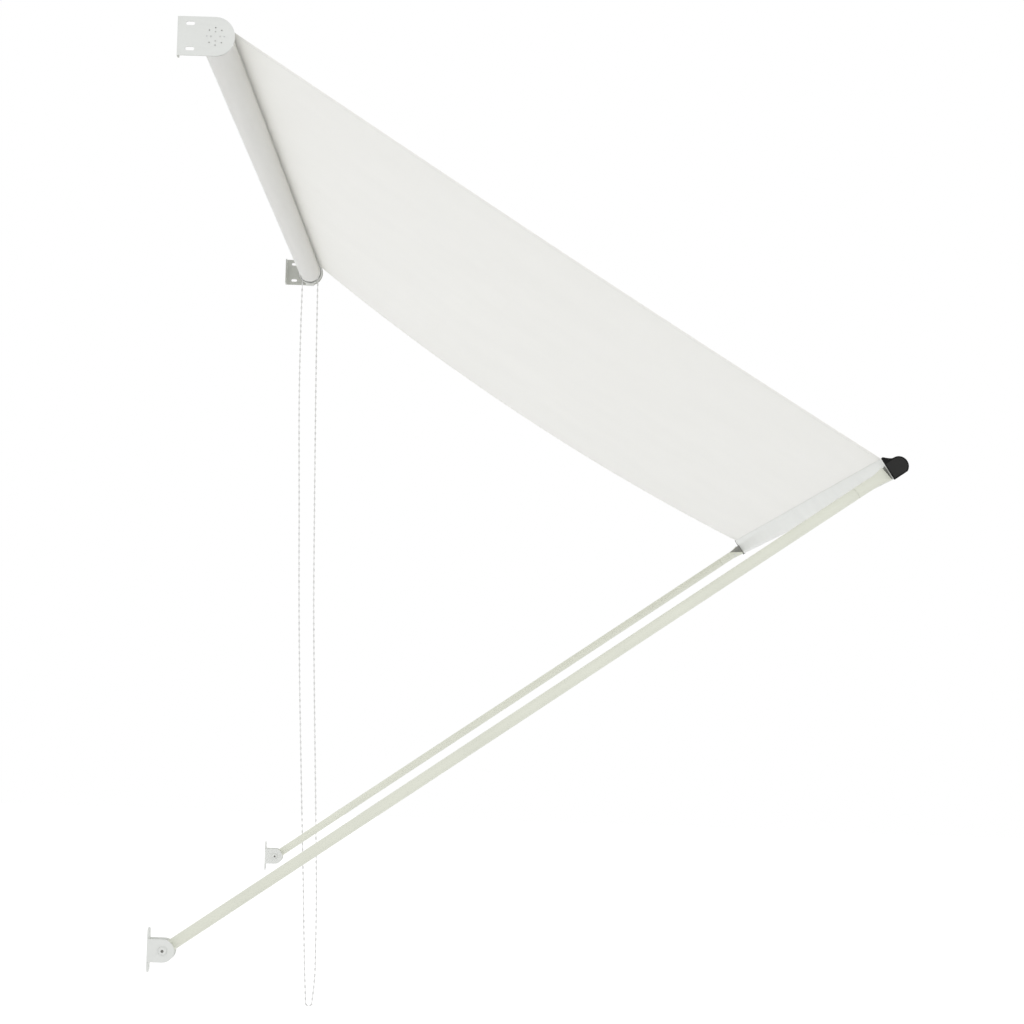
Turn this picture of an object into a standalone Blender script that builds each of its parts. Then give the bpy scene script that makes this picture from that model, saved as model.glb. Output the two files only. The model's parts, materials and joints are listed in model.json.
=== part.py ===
"""Drop-arm window awning: roller under two wall brackets, fabric sheet, front bar and two tube arms.

Run with: blender --background --python part.py

Frame: +X away from the wall, +Y along the width, +Z up, in metres. The wall is the plane X = 0.
Height 0 is the roller's axis, and the origin is the middle of the left upper bracket's wall face.
Left is the end with the lower Y, which is the left end for someone who faces the wall.
Places across the width are given as insets, measured inwards from a bracket's outer face.
"""

import math

import bmesh
import bpy
from mathutils import Matrix, Vector

MM = 0.001

# Overall sizes
WIDTH = 2500 * MM
PIVOT_DROP = 1567 * MM
ARM_ANGLE = 35.35
ARM_LENGTH = 1466 * MM
CLEARANCE = 0.3 * MM

# Upper brackets, folded from sheet
SHEET = 2.5 * MM
FOLD_RADIUS = 1.5 * MM
AXIS_FROM_WALL = 66 * MM
BRACKET_HEIGHT = 67 * MM
FLANGE_DEPTH = 23 * MM
FLANGE_CORNER = 4 * MM
FLANGE_HOLE_RADIUS = 3.2 * MM
FLANGE_HOLE_HEIGHT = 20 * MM
SLOT_LENGTH = 15.5 * MM
SLOT_WIDTH = 6.5 * MM
SLOT_FROM_WALL = 22.5 * MM
SLOT_HEIGHT = 21.7 * MM
HOLE_RADIUS = 1.2 * MM
OUTER_HOLE_RING = 14.9 * MM
OUTER_HOLE_COUNT = 8
INNER_HOLE_RING = 7.9 * MM
INNER_HOLE_COUNT = 4

# Roller
TUBE_RADIUS = 25 * MM
TUBE_WALL = 1.5 * MM
END_FLANGE = 2 * MM
SPIGOT_LENGTH = 32 * MM

# Idle end
IDLER_RADIUS = 20 * MM
IDLER_THICKNESS = 4 * MM
IDLER_PIN_RADIUS = 8 * MM
IDLER_PIN_LENGTH = 34 * MM
IDLER_RUNNING_GAP = 3 * MM
PEG_RADIUS = 0.9 * MM
PEG_LENGTH = 2.2 * MM
SCREW_HEAD_RADIUS = 2.4 * MM
SCREW_HEAD_HEIGHT = 1.4 * MM

# Chain drive
BEAD_DIAMETER = 4.5 * MM
BEAD_PITCH = 16 * MM
POCKET_COUNT = 8
POCKET_RADIUS = 5.5 * MM
POCKET_DEPTH = 1 * MM
GUARD_BASE = 2.4 * MM
GUARD_RADIUS = 31 * MM
GUARD_WALL = 2.2 * MM
GUARD_PIN_RADIUS = 7 * MM
GUARD_PIN_LENGTH = 34 * MM
CHIN_WIDTH = 22 * MM
CHIN_DROP = 35.5 * MM
OUTLET_WIDTH = 9 * MM
OUTLET_TOP = 12 * MM
WHEEL_FLANGE = 1.3 * MM
WHEEL_FLANGE_RADIUS = TUBE_RADIUS - MM
WHEEL_GROOVE = 5.2 * MM
WHEEL_NECK = 1 * MM
WHEEL_NECK_RADIUS = 20 * MM
CHAIN_TAIL = 10 * MM

# Fabric
FABRIC_INSET = 27 * MM
FABRIC_THICKNESS = 0.6 * MM
ROLL_BUILD = 3.4 * MM
FREE_WRAP = 6.0
SAG_LEFT = 5 * MM
SAG_RIGHT = 37 * MM

# Lower brackets
LOWER_INSET = 15 * MM
LOWER_WIDTH = 38 * MM
LOWER_PIVOT_FROM_WALL = 27.5 * MM
LOWER_NOSE = 20 * MM
TAB_HEIGHT = 77 * MM
TAB_CORNER = 10 * MM
TAB_HOLE_RADIUS = 3 * MM
TAB_HOLE_HEIGHT = 29.5 * MM

# Arms
ARM_RADIUS = 10 * MM
ARM_WALL = 1 * MM
EYE_WIDTH = 2.4 * ARM_RADIUS
SPACER_RADIUS = 8.5 * MM
FOOT_COLLAR = 1.7 * MM
STUB_LENGTH = 32 * MM
LOWER_BOLT_RADIUS = 4 * MM
FORK_LENGTH = 42 * MM
PIVOT_BELOW = 5 * MM
TONGUE_WIDTH = 7.4 * MM
TONGUE_NOSE = 6 * MM
FRONT_PIN_RADIUS = 2.8 * MM
PIN_COVER = 2.4 * MM

# The fork's flare: distance from the front pivot's place, growth below and growth above the tube
FORK_FLARE = [(-FORK_LENGTH, 0, 0), (-27 * MM, 0, 0), (-15 * MM, 0.3 * MM, 0), (-4 * MM, 0.9 * MM, 0.2 * MM),
              (5 * MM, 1.6 * MM, 0.9 * MM), (13 * MM, 2.5 * MM, 2.1 * MM), (20 * MM, 3.4 * MM, 3.4 * MM)]
FORK_SLANT = 3.4 * MM
FORK_CORNER = 3.5 * MM

# Front bar, in its own frame: X away from the arm pivot, Z across the arm
CAP_INSET = 13 * MM
CAP_DEPTH = 5 * MM
CAP_PLUG = 30 * MM
CAP_PROUD = 0.4 * MM
CAP_RIM = 2.2 * MM
CAP_RECESS = 0.6 * MM
HINGE_ROOT = 10 * MM
BAR_WALL = 1.8 * MM
NOSE_CENTER = Vector((40 * MM, 4.5 * MM))
NOSE_RADIUS = 17 * MM
BAR_UNDERSIDE = -10.5 * MM
BAR_BACK = 22 * MM
BAR_CORNER = 6 * MM
CAP_CORNER = 1.2 * MM
FIN_CENTER = Vector((25 * MM, 30.4 * MM))
FIN_RADIUS = 1.8 * MM
GROOVE_CENTER = Vector((28 * MM, 23.9 * MM))
GROOVE_RADIUS = 2.6 * MM
GROOVE_SLOT = 1.4 * MM
HOLLOW_TOP = 18 * MM
HEM_ROD_RADIUS = 2.2 * MM

# Bead chain's route below the guard: distance from the wall and height, for each strand
CHAIN_WALL_STRAND = [
    (45.6, -10.3), (45.3, -48), (45, -155), (46.4, -290), (49, -397), (56.5, -612), (65.5, -880),
    (74.5, -1095), (84, -1283), (93.8, -1470), (102.5, -1631), (113, -1845), (116.5, -1903),
]
CHAIN_BOTTOM = [
    (118.9, -1940), (120.6, -1960), (122.9, -1965.7), (128.6, -1968), (134.3, -1965.7), (136.6, -1960),
    (138.6, -1940),
]
CHAIN_OUTER_STRAND = [
    (141.5, -1903), (142.5, -1852), (139.6, -1683), (131, -1469), (122.3, -1281), (113.7, -1094),
    (105, -879), (98, -611), (91.8, -342), (88.6, -181), (86.8, -48), (86.4, -10.3),
]
CHAIN_POINTS = 960
CHAIN_STRIDE = 15
CHAIN_BEND_HEIGHT = -1945

ROUND_STEPS = 32
SMALL_STEPS = 16
TINY_STEPS = 8

LEFT_FACE = -FLANGE_DEPTH / 2
RIGHT_FACE = LEFT_FACE + WIDTH

OUTER_FOLD = SHEET + FOLD_RADIUS
BRACKET_NOSE = BRACKET_HEIGHT / 2
TUBE_BORE = TUBE_RADIUS - TUBE_WALL
ROLL_RADIUS = TUBE_RADIUS + ROLL_BUILD
SPIGOT_RADIUS = TUBE_BORE - CLEARANCE
PLATE_SEAT = SHEET + CLEARANCE
IDLER_FACE = PLATE_SEAT + IDLER_THICKNESS
PLUG_START = IDLER_FACE + IDLER_RUNNING_GAP
TUBE_START = PLUG_START + END_FLANGE + CLEARANCE
GUARD_FACE = PLATE_SEAT + GUARD_BASE
WHEEL_START = GUARD_FACE + CLEARANCE
CHAIN_INSET = WHEEL_START + WHEEL_FLANGE + WHEEL_GROOVE / 2
WHEEL_END = WHEEL_START + 2 * WHEEL_FLANGE + WHEEL_GROOVE
GUARD_END = WHEEL_END + WHEEL_NECK / 2
HUB_START = WHEEL_END + WHEEL_NECK
TUBE_END = HUB_START + END_FLANGE + CLEARANCE
PITCH_RADIUS = BEAD_PITCH * POCKET_COUNT / (2 * math.pi)
CHAIN_RADIUS = BEAD_DIAMETER / 2
WHEEL_FLOOR = PITCH_RADIUS - CHAIN_RADIUS - CLEARANCE

ARM_INSET = LOWER_INSET + LOWER_WIDTH / 2
BAR_INSET = CAP_INSET + CAP_DEPTH + CLEARANCE
FRONT_PIVOT = (ARM_LENGTH, -PIVOT_BELOW)
LEAN = math.radians(ARM_ANGLE)
BAR_PIVOT = Vector((
    LOWER_PIVOT_FROM_WALL + FRONT_PIVOT[0] * math.cos(LEAN) - FRONT_PIVOT[1] * math.sin(LEAN), 0,
    FRONT_PIVOT[0] * math.sin(LEAN) + FRONT_PIVOT[1] * math.cos(LEAN) - PIVOT_DROP,
))


class Side:
    """One end of the awning. An inset is turned into a Y place."""

    def __init__(self, name, face, inwards):
        self.name = name
        self.face = face
        self.inwards = inwards

    def y(self, inset):
        return self.face + self.inwards * inset


LEFT = Side("left", LEFT_FACE, 1)
RIGHT = Side("right", RIGHT_FACE, -1)
SIDES = (LEFT, RIGHT)


# Scene and materials

def clear_scene():
    for obj in list(bpy.data.objects):
        bpy.data.objects.remove(obj, do_unlink=True)


def make_collection(name):
    collection = bpy.data.collections.new(name)
    bpy.context.scene.collection.children.link(collection)
    return collection


def make_material(name, color, roughness, metallic=0.0):
    material = bpy.data.materials.new(name)
    material.use_nodes = True
    shader = material.node_tree.nodes["Principled BSDF"]
    shader.inputs["Base Color"].default_value = (*color, 1)
    shader.inputs["Roughness"].default_value = roughness
    shader.inputs["Metallic"].default_value = metallic
    return material


clear_scene()
AWNING = make_collection("awning")
CUTTERS = make_collection("cutters")

POWDER_WHITE = make_material("powder_white", (0.76, 0.78, 0.75), 0.45)
ARM_CREAM = make_material("arm_cream", (0.76, 0.78, 0.68), 0.4)
CANVAS = make_material("canvas", (0.81, 0.81, 0.77), 0.9)
GREY_PLASTIC = make_material("grey_plastic", (0.2, 0.2, 0.18), 0.5)
BLACK_PLASTIC = make_material("black_plastic", (0.03, 0.03, 0.03), 0.45)
WHITE_PLASTIC = make_material("white_plastic", (0.75, 0.76, 0.73), 0.5)
ZINC_STEEL = make_material("zinc_steel", (0.55, 0.56, 0.56), 0.35, 1.0)
BARE_ALUMINIUM = make_material("bare_aluminium", (0.7, 0.71, 0.72), 0.4, 1.0)
CHAIN_PLASTIC = make_material("chain_plastic", (0.78, 0.78, 0.77), 0.4)


def make_axis(name, place, angle=0.0):
    """An empty on a joint's axis. Its X axis is raised from level by the angle."""
    axis = bpy.data.objects.new(name, None)
    axis.location = place
    axis.rotation_euler = (0, -math.radians(angle), 0)
    AWNING.objects.link(axis)
    return axis


# Outlines: lists of points in one plane

def arc(center, radius, start, end, steps):
    """Points on a round stretch from one angle to another, in degrees, with both ends."""
    points = []
    for step in range(steps + 1):
        angle = math.radians(start + (end - start) * step / steps)
        points.append((center[0] + radius * math.cos(angle), center[1] + radius * math.sin(angle)))
    return points


def circle(center, radius, steps=SMALL_STEPS):
    return arc(center, radius, 0, 360, steps)[:-1]


def slot_outline(center, length, width, steps=TINY_STEPS):
    """A level slot with round ends."""
    radius = width / 2
    reach = length / 2 - radius
    right = arc((center[0] + reach, center[1]), radius, -90, 90, steps)
    left = arc((center[0] - reach, center[1]), radius, 90, 270, steps)
    return right + left


def rounded_box(low, high, radius, steps=4):
    """A rectangle with round corners."""
    corners = (
        ((high[0] - radius, low[1] + radius), -90),
        ((high[0] - radius, high[1] - radius), 0),
        ((low[0] + radius, high[1] - radius), 90),
        ((low[0] + radius, low[1] + radius), 180),
    )
    points = []
    for center, start in corners:
        points += arc(center, radius, start, start + 90, steps)
    return points


def nose_outline(wall, center, radius, steps=ROUND_STEPS // 2):
    """A cheek seen from the side: square at the wall and half round at its nose."""
    nose = arc(center, radius, -90, 90, steps)
    return [(wall, center[1] - radius)] + nose + [(wall, center[1] + radius)]


def ring_of_places(center, radius, count, start=0.0):
    return circle_places(center, radius, [start + 360 * index / count for index in range(count)])


def circle_places(center, radius, angles):
    return [
        (center[0] + radius * math.cos(math.radians(angle)),
         center[1] + radius * math.sin(math.radians(angle)))
        for angle in angles
    ]


# Solids

PLANE_TURNS = {
    "XY": Matrix.Identity(4),
    "XZ": Matrix.Rotation(math.radians(90), 4, "X"),
    "YZ": Matrix.Rotation(math.radians(90), 4, "Z") @ Matrix.Rotation(math.radians(90), 4, "X"),
}
PLANE_NORMALS = {"XY": Vector((0, 0, 1)), "XZ": Vector((0, 1, 0)), "YZ": Vector((1, 0, 0))}
WELD = 1e-6


def own_mesh(obj, name):
    """Turn any object into a welded mesh with outward faces, placed at its owner's origin."""
    depsgraph = bpy.context.evaluated_depsgraph_get()
    mesh = bpy.data.meshes.new_from_object(obj.evaluated_get(depsgraph))
    mesh.name = name
    mesh.transform(obj.matrix_basis)
    body = bmesh.new()
    body.from_mesh(mesh)
    bmesh.ops.remove_doubles(body, verts=body.verts, dist=WELD)
    bmesh.ops.recalc_face_normals(body, faces=body.faces)
    body.to_mesh(mesh)
    body.free()
    bpy.data.objects.remove(obj, do_unlink=True)
    piece = bpy.data.objects.new(name, mesh)
    CUTTERS.objects.link(piece)
    piece.hide_render = True
    piece.display_type = "WIRE"
    return piece


def prism(name, loops, plane, low, high):
    """A flat outline, with any holes, drawn out from low to high along its plane's normal."""
    curve = bpy.data.curves.new(name, "CURVE")
    curve.dimensions = "2D"
    curve.fill_mode = "BOTH"
    curve.extrude = abs(high - low) / 2
    for loop in loops:
        spline = curve.splines.new("POLY")
        spline.points.add(len(loop) - 1)
        for point, (across, up) in zip(spline.points, loop):
            point.co = (across, up, 0, 1)
        spline.use_cyclic_u = True
    obj = bpy.data.objects.new(name, curve)
    middle = PLANE_NORMALS[plane] * (low + high) / 2
    obj.matrix_basis = Matrix.Translation(middle) @ PLANE_TURNS[plane]
    CUTTERS.objects.link(obj)
    bpy.context.view_layer.update()
    return own_mesh(obj, name)


def turned(name, profile, axis, center, steps=ROUND_STEPS):
    """A turned body. The profile is (place along the axis, radius); the axis is X or Y.

    A profile that starts and ends on the axis is a solid one, and any other is a ring.
    """
    body = bmesh.new()
    points = []
    for along, radius in profile:
        place = (along, radius, 0) if axis == "X" else (radius, along, 0)
        points.append(body.verts.new(place))
    pairs = list(zip(points, points[1:]))
    if profile[0][1] > 0:
        pairs.append((points[-1], points[0]))
    for first, second in pairs:
        body.edges.new((first, second))
    mesh = bpy.data.meshes.new(name)
    body.to_mesh(mesh)
    body.free()
    obj = bpy.data.objects.new(name, mesh)
    CUTTERS.objects.link(obj)
    screw = obj.modifiers.new("turn", "SCREW")
    screw.axis = axis
    screw.steps = steps
    screw.render_steps = steps
    screw.use_merge_vertices = True
    screw.merge_threshold = WELD
    obj.location = (0, center[0], center[1]) if axis == "X" else (center[0], 0, center[1])
    bpy.context.view_layer.update()
    return own_mesh(obj, name)


def lofted(name, rings):
    """A body whose skin runs through rings of places, closed at both ends."""
    body = bmesh.new()
    rows = [[body.verts.new(place) for place in ring] for ring in rings]
    for first, second in zip(rows, rows[1:]):
        for index, place in enumerate(first):
            following = (index + 1) % len(first)
            body.faces.new((place, first[following], second[following], second[index]))
    body.faces.new(rows[0][::-1])
    body.faces.new(rows[-1])
    mesh = bpy.data.meshes.new(name)
    body.to_mesh(mesh)
    body.free()
    obj = bpy.data.objects.new(name, mesh)
    CUTTERS.objects.link(obj)
    bpy.context.view_layer.update()
    return own_mesh(obj, name)


def rod(name, axis, center, low, high, radius, steps=SMALL_STEPS):
    """A plain round rod."""
    profile = [(low, 0), (low, radius), (high, radius), (high, 0)]
    return turned(name, profile, axis, center, steps)


def wire(name, points, radius):
    """A round tube along points, with closed ends."""
    curve = bpy.data.curves.new(name, "CURVE")
    curve.dimensions = "3D"
    curve.bevel_depth = radius
    curve.bevel_resolution = 2
    curve.use_fill_caps = True
    spline = curve.splines.new("POLY")
    spline.points.add(len(points) - 1)
    for point, place in zip(spline.points, points):
        point.co = (*place, 1)
    obj = bpy.data.objects.new(name, curve)
    CUTTERS.objects.link(obj)
    bpy.context.view_layer.update()
    return own_mesh(obj, name)


def combine(target, others, operation):
    """Cut, join or intersect a piece with others, which are used up."""
    for other in others:
        step = target.modifiers.new(operation, "BOOLEAN")
        step.operation = operation
        step.solver = "EXACT"
        step.object = other
        bpy.context.view_layer.update()
        depsgraph = bpy.context.evaluated_depsgraph_get()
        mesh = bpy.data.meshes.new_from_object(target.evaluated_get(depsgraph))
        target.modifiers.clear()
        old = target.data
        target.data = mesh
        mesh.name = target.name
        bpy.data.meshes.remove(old)
        bpy.data.objects.remove(other, do_unlink=True)
    return target


def cut(target, *others):
    return combine(target, others, "DIFFERENCE")


def join(target, *others):
    return combine(target, others, "UNION")


def keep_inside(target, *others):
    return combine(target, others, "INTERSECT")


def finish(piece, material, owner=None, smooth=30):
    """Put a finished piece in the awning's collection, on its axis and in its material."""
    CUTTERS.objects.unlink(piece)
    AWNING.objects.link(piece)
    piece.hide_render = False
    piece.display_type = "TEXTURED"
    piece.parent = owner
    piece.data.materials.clear()
    piece.data.materials.append(material)
    piece.data.shade_smooth()
    piece.data.set_sharp_from_angle(angle=math.radians(smooth))
    return piece


# Upper brackets

AXIS = (AXIS_FROM_WALL, 0.0)


def bracket_holes(side):
    """The small holes round the roller's axis, one cutter for each."""
    places = ring_of_places(AXIS, OUTER_HOLE_RING, OUTER_HOLE_COUNT)
    places += ring_of_places(AXIS, INNER_HOLE_RING, INNER_HOLE_COUNT)
    loops = [circle(place, HOLE_RADIUS, TINY_STEPS) for place in places]
    for height in (-SLOT_HEIGHT, SLOT_HEIGHT):
        loops.append(slot_outline((SLOT_FROM_WALL, height), SLOT_LENGTH, SLOT_WIDTH))
    return prism("bracket_holes", loops, "XZ", side.y(-SHEET), side.y(2 * SHEET))


def make_upper_bracket(side):
    reach = AXIS_FROM_WALL + BRACKET_NOSE
    corner = (OUTER_FOLD, OUTER_FOLD)
    outside = [(reach, 0)] + arc(corner, OUTER_FOLD, 270, 180, 4) + [(0, FLANGE_DEPTH)]
    inside = [(SHEET, FLANGE_DEPTH)] + arc(corner, FOLD_RADIUS, 180, 270, 4) + [(reach, SHEET)]
    section = [(x, side.y(inset)) for x, inset in outside + inside]
    bracket = prism(f"upper_bracket_{side.name}", [section], "XY", -BRACKET_NOSE, BRACKET_NOSE)
    cheek = nose_outline(-SHEET, AXIS, BRACKET_NOSE)
    keep_inside(bracket, prism("cheek", [cheek], "XZ", side.y(-SHEET), side.y(FLANGE_DEPTH + SHEET)))
    low = min(side.y(-2 * FLANGE_CORNER), side.y(FLANGE_DEPTH))
    high = max(side.y(-2 * FLANGE_CORNER), side.y(FLANGE_DEPTH))
    face = rounded_box((low, -BRACKET_NOSE), (high, BRACKET_NOSE), FLANGE_CORNER)
    keep_inside(bracket, prism("flange", [face], "YZ", -SHEET, reach + SHEET))
    cut(bracket, bracket_holes(side))
    hole_inset = (FLANGE_DEPTH + OUTER_FOLD) / 2
    screws = [circle((side.y(hole_inset), height), FLANGE_HOLE_RADIUS)
              for height in (-FLANGE_HOLE_HEIGHT, FLANGE_HOLE_HEIGHT)]
    cut(bracket, prism("flange_holes", screws, "YZ", -SHEET, 2 * SHEET))
    return finish(bracket, POWDER_WHITE)


def screw_places():
    """Two holes of the outer ring, one towards the wall and one away from it."""
    return ring_of_places(AXIS, OUTER_HOLE_RING, 2)


def make_pegs(side):
    """Moulded pegs that enter the inner ring of bracket holes."""
    places = ring_of_places(AXIS, INNER_HOLE_RING, INNER_HOLE_COUNT)
    loops = [circle(place, PEG_RADIUS, TINY_STEPS) for place in places]
    return prism("pegs", loops, "XZ", side.y(PLATE_SEAT - PEG_LENGTH), side.y(PLATE_SEAT + MM))


def screw_holes(side, depth):
    loops = [circle(place, HOLE_RADIUS, TINY_STEPS) for place in screw_places()]
    return prism("screw_holes", loops, "XZ", side.y(SHEET), side.y(depth + MM))


# Idle end of the roller

def make_idler():
    profile = [
        (LEFT.y(PLATE_SEAT), 0), (LEFT.y(PLATE_SEAT), IDLER_RADIUS),
        (LEFT.y(IDLER_FACE), IDLER_RADIUS), (LEFT.y(IDLER_FACE), IDLER_PIN_RADIUS),
        (LEFT.y(IDLER_FACE + IDLER_PIN_LENGTH - MM), IDLER_PIN_RADIUS),
        (LEFT.y(IDLER_FACE + IDLER_PIN_LENGTH), IDLER_PIN_RADIUS - MM),
        (LEFT.y(IDLER_FACE + IDLER_PIN_LENGTH), 0),
    ]
    plate = turned("idler_plate", profile, "Y", AXIS)
    join(plate, make_pegs(LEFT))
    cut(plate, screw_holes(LEFT, IDLER_FACE))
    finish(plate, WHITE_PLASTIC)
    for index, place in enumerate(screw_places(), 1):
        make_plate_screw(f"idler_screw_{index}", LEFT, place, IDLER_FACE)


def make_plate_screw(name, side, place, face):
    """A pan-head screw from the roller's side, through a plate and into the cheek."""
    seat = side.y(face + CLEARANCE)
    top = side.y(face + CLEARANCE + SCREW_HEAD_HEIGHT)
    tip = side.y(CLEARANCE)
    profile = [(tip, 0), (tip, PEG_RADIUS), (seat, PEG_RADIUS), (seat, SCREW_HEAD_RADIUS),
               (top, SCREW_HEAD_RADIUS * 0.8), (top, 0)]
    return finish(turned(name, profile, "Y", place, SMALL_STEPS), ZINC_STEEL)


# Roller and what turns with it

def make_roller(axis):
    start, end = LEFT.y(TUBE_START), RIGHT.y(TUBE_END)
    center = (0.0, 0.0)
    loops = [circle(center, TUBE_RADIUS, ROUND_STEPS), circle(center, TUBE_BORE, ROUND_STEPS)]
    finish(prism("roller_tube", loops, "XZ", start, end), BARE_ALUMINIUM, axis)

    bore = IDLER_PIN_RADIUS + CLEARANCE
    plug_end = TUBE_START + SPIGOT_LENGTH
    profile = [
        (LEFT.y(PLUG_START), bore), (LEFT.y(PLUG_START), TUBE_RADIUS),
        (LEFT.y(TUBE_START - CLEARANCE), TUBE_RADIUS), (LEFT.y(TUBE_START - CLEARANCE), SPIGOT_RADIUS),
        (LEFT.y(plug_end), SPIGOT_RADIUS), (LEFT.y(plug_end), bore),
    ]
    finish(turned("roller_plug", profile, "Y", center), BLACK_PLASTIC, axis)
    make_chain_wheel(axis)
    make_fabric_roll(axis)


def make_chain_wheel(axis):
    """Wheel with a pocket for each bead, and the hub that drives the tube."""
    bore = GUARD_PIN_RADIUS + CLEARANCE
    first, second = WHEEL_START + WHEEL_FLANGE, WHEEL_END - WHEEL_FLANGE
    hub_end = HUB_START + END_FLANGE
    profile = [
        (WHEEL_START, bore), (WHEEL_START, WHEEL_FLANGE_RADIUS), (first, WHEEL_FLANGE_RADIUS),
        (first, WHEEL_FLOOR), (second, WHEEL_FLOOR), (second, WHEEL_FLANGE_RADIUS),
        (WHEEL_END, WHEEL_FLANGE_RADIUS), (WHEEL_END, WHEEL_NECK_RADIUS),
        (HUB_START, WHEEL_NECK_RADIUS), (HUB_START, TUBE_RADIUS), (hub_end, TUBE_RADIUS),
        (hub_end, SPIGOT_RADIUS), (hub_end + SPIGOT_LENGTH, SPIGOT_RADIUS),
        (hub_end + SPIGOT_LENGTH, bore),
    ]
    profile = [(RIGHT.y(inset), radius) for inset, radius in profile]
    wheel = turned("chain_wheel", profile, "Y", (0.0, 0.0))
    ring = WHEEL_FLOOR - POCKET_DEPTH + POCKET_RADIUS
    places = ring_of_places((0.0, 0.0), ring, POCKET_COUNT)
    loops = [circle(place, POCKET_RADIUS) for place in places]
    cut(wheel, prism("pockets", loops, "XZ", RIGHT.y(first), RIGHT.y(second)))
    finish(wheel, WHITE_PLASTIC, axis)


def sheet_angle():
    """Slope of the taut sheet below level, in degrees, from the roll's top side to the bar's groove."""
    mouth = groove_mouth()
    across, drop = mouth.x - AXIS_FROM_WALL, -mouth.z
    distance = math.hypot(across, drop)
    lift = math.asin((ROLL_RADIUS - FABRIC_THICKNESS / 2) / distance)
    return math.degrees(math.atan2(drop, across) + lift)


def make_fabric_roll(axis):
    """The turns left on the tube: one strip wound from the tube outwards, with air between turns."""
    pitch = FABRIC_THICKNESS + CLEARANCE
    last = 90 - sheet_angle() + FREE_WRAP + 0.7
    turns = (ROLL_RADIUS - FABRIC_THICKNESS - CLEARANCE - TUBE_RADIUS) / pitch
    steps = round(turns * ROUND_STEPS)
    outer, inner = [], []
    for step in range(steps + 1):
        back = turns * (1 - step / steps)
        angle = math.radians(last + 360 * back)
        radius = ROLL_RADIUS - pitch * back
        outer.append((radius * math.cos(angle), radius * math.sin(angle)))
        radius -= FABRIC_THICKNESS
        inner.append((radius * math.cos(angle), radius * math.sin(angle)))
    strip = outer + inner[::-1]
    roll = prism("fabric_roll", [strip], "XZ", LEFT.y(FABRIC_INSET), RIGHT.y(FABRIC_INSET))
    finish(roll, CANVAS, axis)


# Chain drive

def make_chain_guard():
    """Base plate, rim and hub pin in one moulding, with an outlet for each strand of the chain."""
    base_low, base_high = RIGHT.y(PLATE_SEAT), RIGHT.y(GUARD_FACE)
    end = RIGHT.y(GUARD_END)
    guard = prism("chain_guard", [circle(AXIS, GUARD_RADIUS, ROUND_STEPS)], "XZ", base_low, end)
    half = CHIN_WIDTH / 2
    chin = [(AXIS[0] - half, -CHIN_DROP), (AXIS[0] + half, -CHIN_DROP), (AXIS[0] + half, 0), (AXIS[0] - half, 0)]
    join(guard, prism("chin", [chin], "XZ", base_low, end))
    well = circle(AXIS, GUARD_RADIUS - GUARD_WALL, ROUND_STEPS)
    cut(guard, prism("well", [well], "XZ", base_high, RIGHT.y(GUARD_END + SHEET)))
    outlets = []
    for strand in (-PITCH_RADIUS, PITCH_RADIUS):
        low, high = AXIS[0] + strand - OUTLET_WIDTH / 2, AXIS[0] + strand + OUTLET_WIDTH / 2
        outlets.append([(low, -CHIN_DROP - MM), (high, -CHIN_DROP - MM), (high, -OUTLET_TOP), (low, -OUTLET_TOP)])
    cut(guard, prism("outlets", outlets, "XZ", base_high, RIGHT.y(GUARD_END + SHEET)))
    pin_end = GUARD_FACE + GUARD_PIN_LENGTH
    join(guard, rod("pin", "Y", AXIS, RIGHT.y(PLATE_SEAT + GUARD_BASE / 2), RIGHT.y(pin_end),
                    GUARD_PIN_RADIUS, ROUND_STEPS))
    join(guard, make_pegs(RIGHT))
    cut(guard, screw_holes(RIGHT, GUARD_FACE), countersinks())
    finish(guard, WHITE_PLASTIC)
    for index, place in enumerate(screw_places(), 1):
        make_flush_screw(f"drive_screw_{index}", place)


def countersinks():
    """Cones for the flush heads behind the wheel."""
    cones = []
    for place in screw_places():
        depth = GUARD_FACE - SCREW_HEAD_HEIGHT - CLEARANCE
        profile = [(RIGHT.y(depth), 0), (RIGHT.y(depth), HOLE_RADIUS),
                   (RIGHT.y(GUARD_FACE), SCREW_HEAD_RADIUS + CLEARANCE),
                   (RIGHT.y(GUARD_FACE + MM), SCREW_HEAD_RADIUS + CLEARANCE), (RIGHT.y(GUARD_FACE + MM), 0)]
        cones.append(turned("countersink", profile, "Y", place, SMALL_STEPS))
    return join(cones[0], *cones[1:])


def make_flush_screw(name, place):
    under = RIGHT.y(GUARD_FACE - SCREW_HEAD_HEIGHT)
    top = RIGHT.y(GUARD_FACE)
    tip = RIGHT.y(CLEARANCE)
    profile = [(tip, 0), (tip, PEG_RADIUS), (under, PEG_RADIUS), (top, SCREW_HEAD_RADIUS), (top, 0)]
    finish(turned(name, profile, "Y", place, SMALL_STEPS), ZINC_STEEL)


def smooth_route(places, count):
    """Evenly spaced points on a smooth curve through the route's places."""
    def between(before, first, second, after, part):
        squared, cubed = part * part, part * part * part
        return 0.5 * (2 * first + (second - before) * part
                      + (2 * before - 5 * first + 4 * second - after) * squared
                      + (3 * first - before - 3 * second + after) * cubed)

    padded = [2 * places[0] - places[1]] + places + [2 * places[-1] - places[-2]]
    fine = []
    for index in range(len(places) - 1):
        for step in range(40):
            fine.append(between(*padded[index:index + 4], step / 40))
    fine.append(places[-1])
    lengths = [0.0]
    for first, second in zip(fine, fine[1:]):
        lengths.append(lengths[-1] + (second - first).length)
    points = []
    spot = 0
    for index in range(count):
        wanted = lengths[-1] * index / (count - 1)
        while spot < len(fine) - 2 and lengths[spot + 1] < wanted:
            spot += 1
        part = (wanted - lengths[spot]) / (lengths[spot + 1] - lengths[spot])
        points.append(fine[spot].lerp(fine[spot + 1], min(part, 1.0)))
    return points


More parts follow.
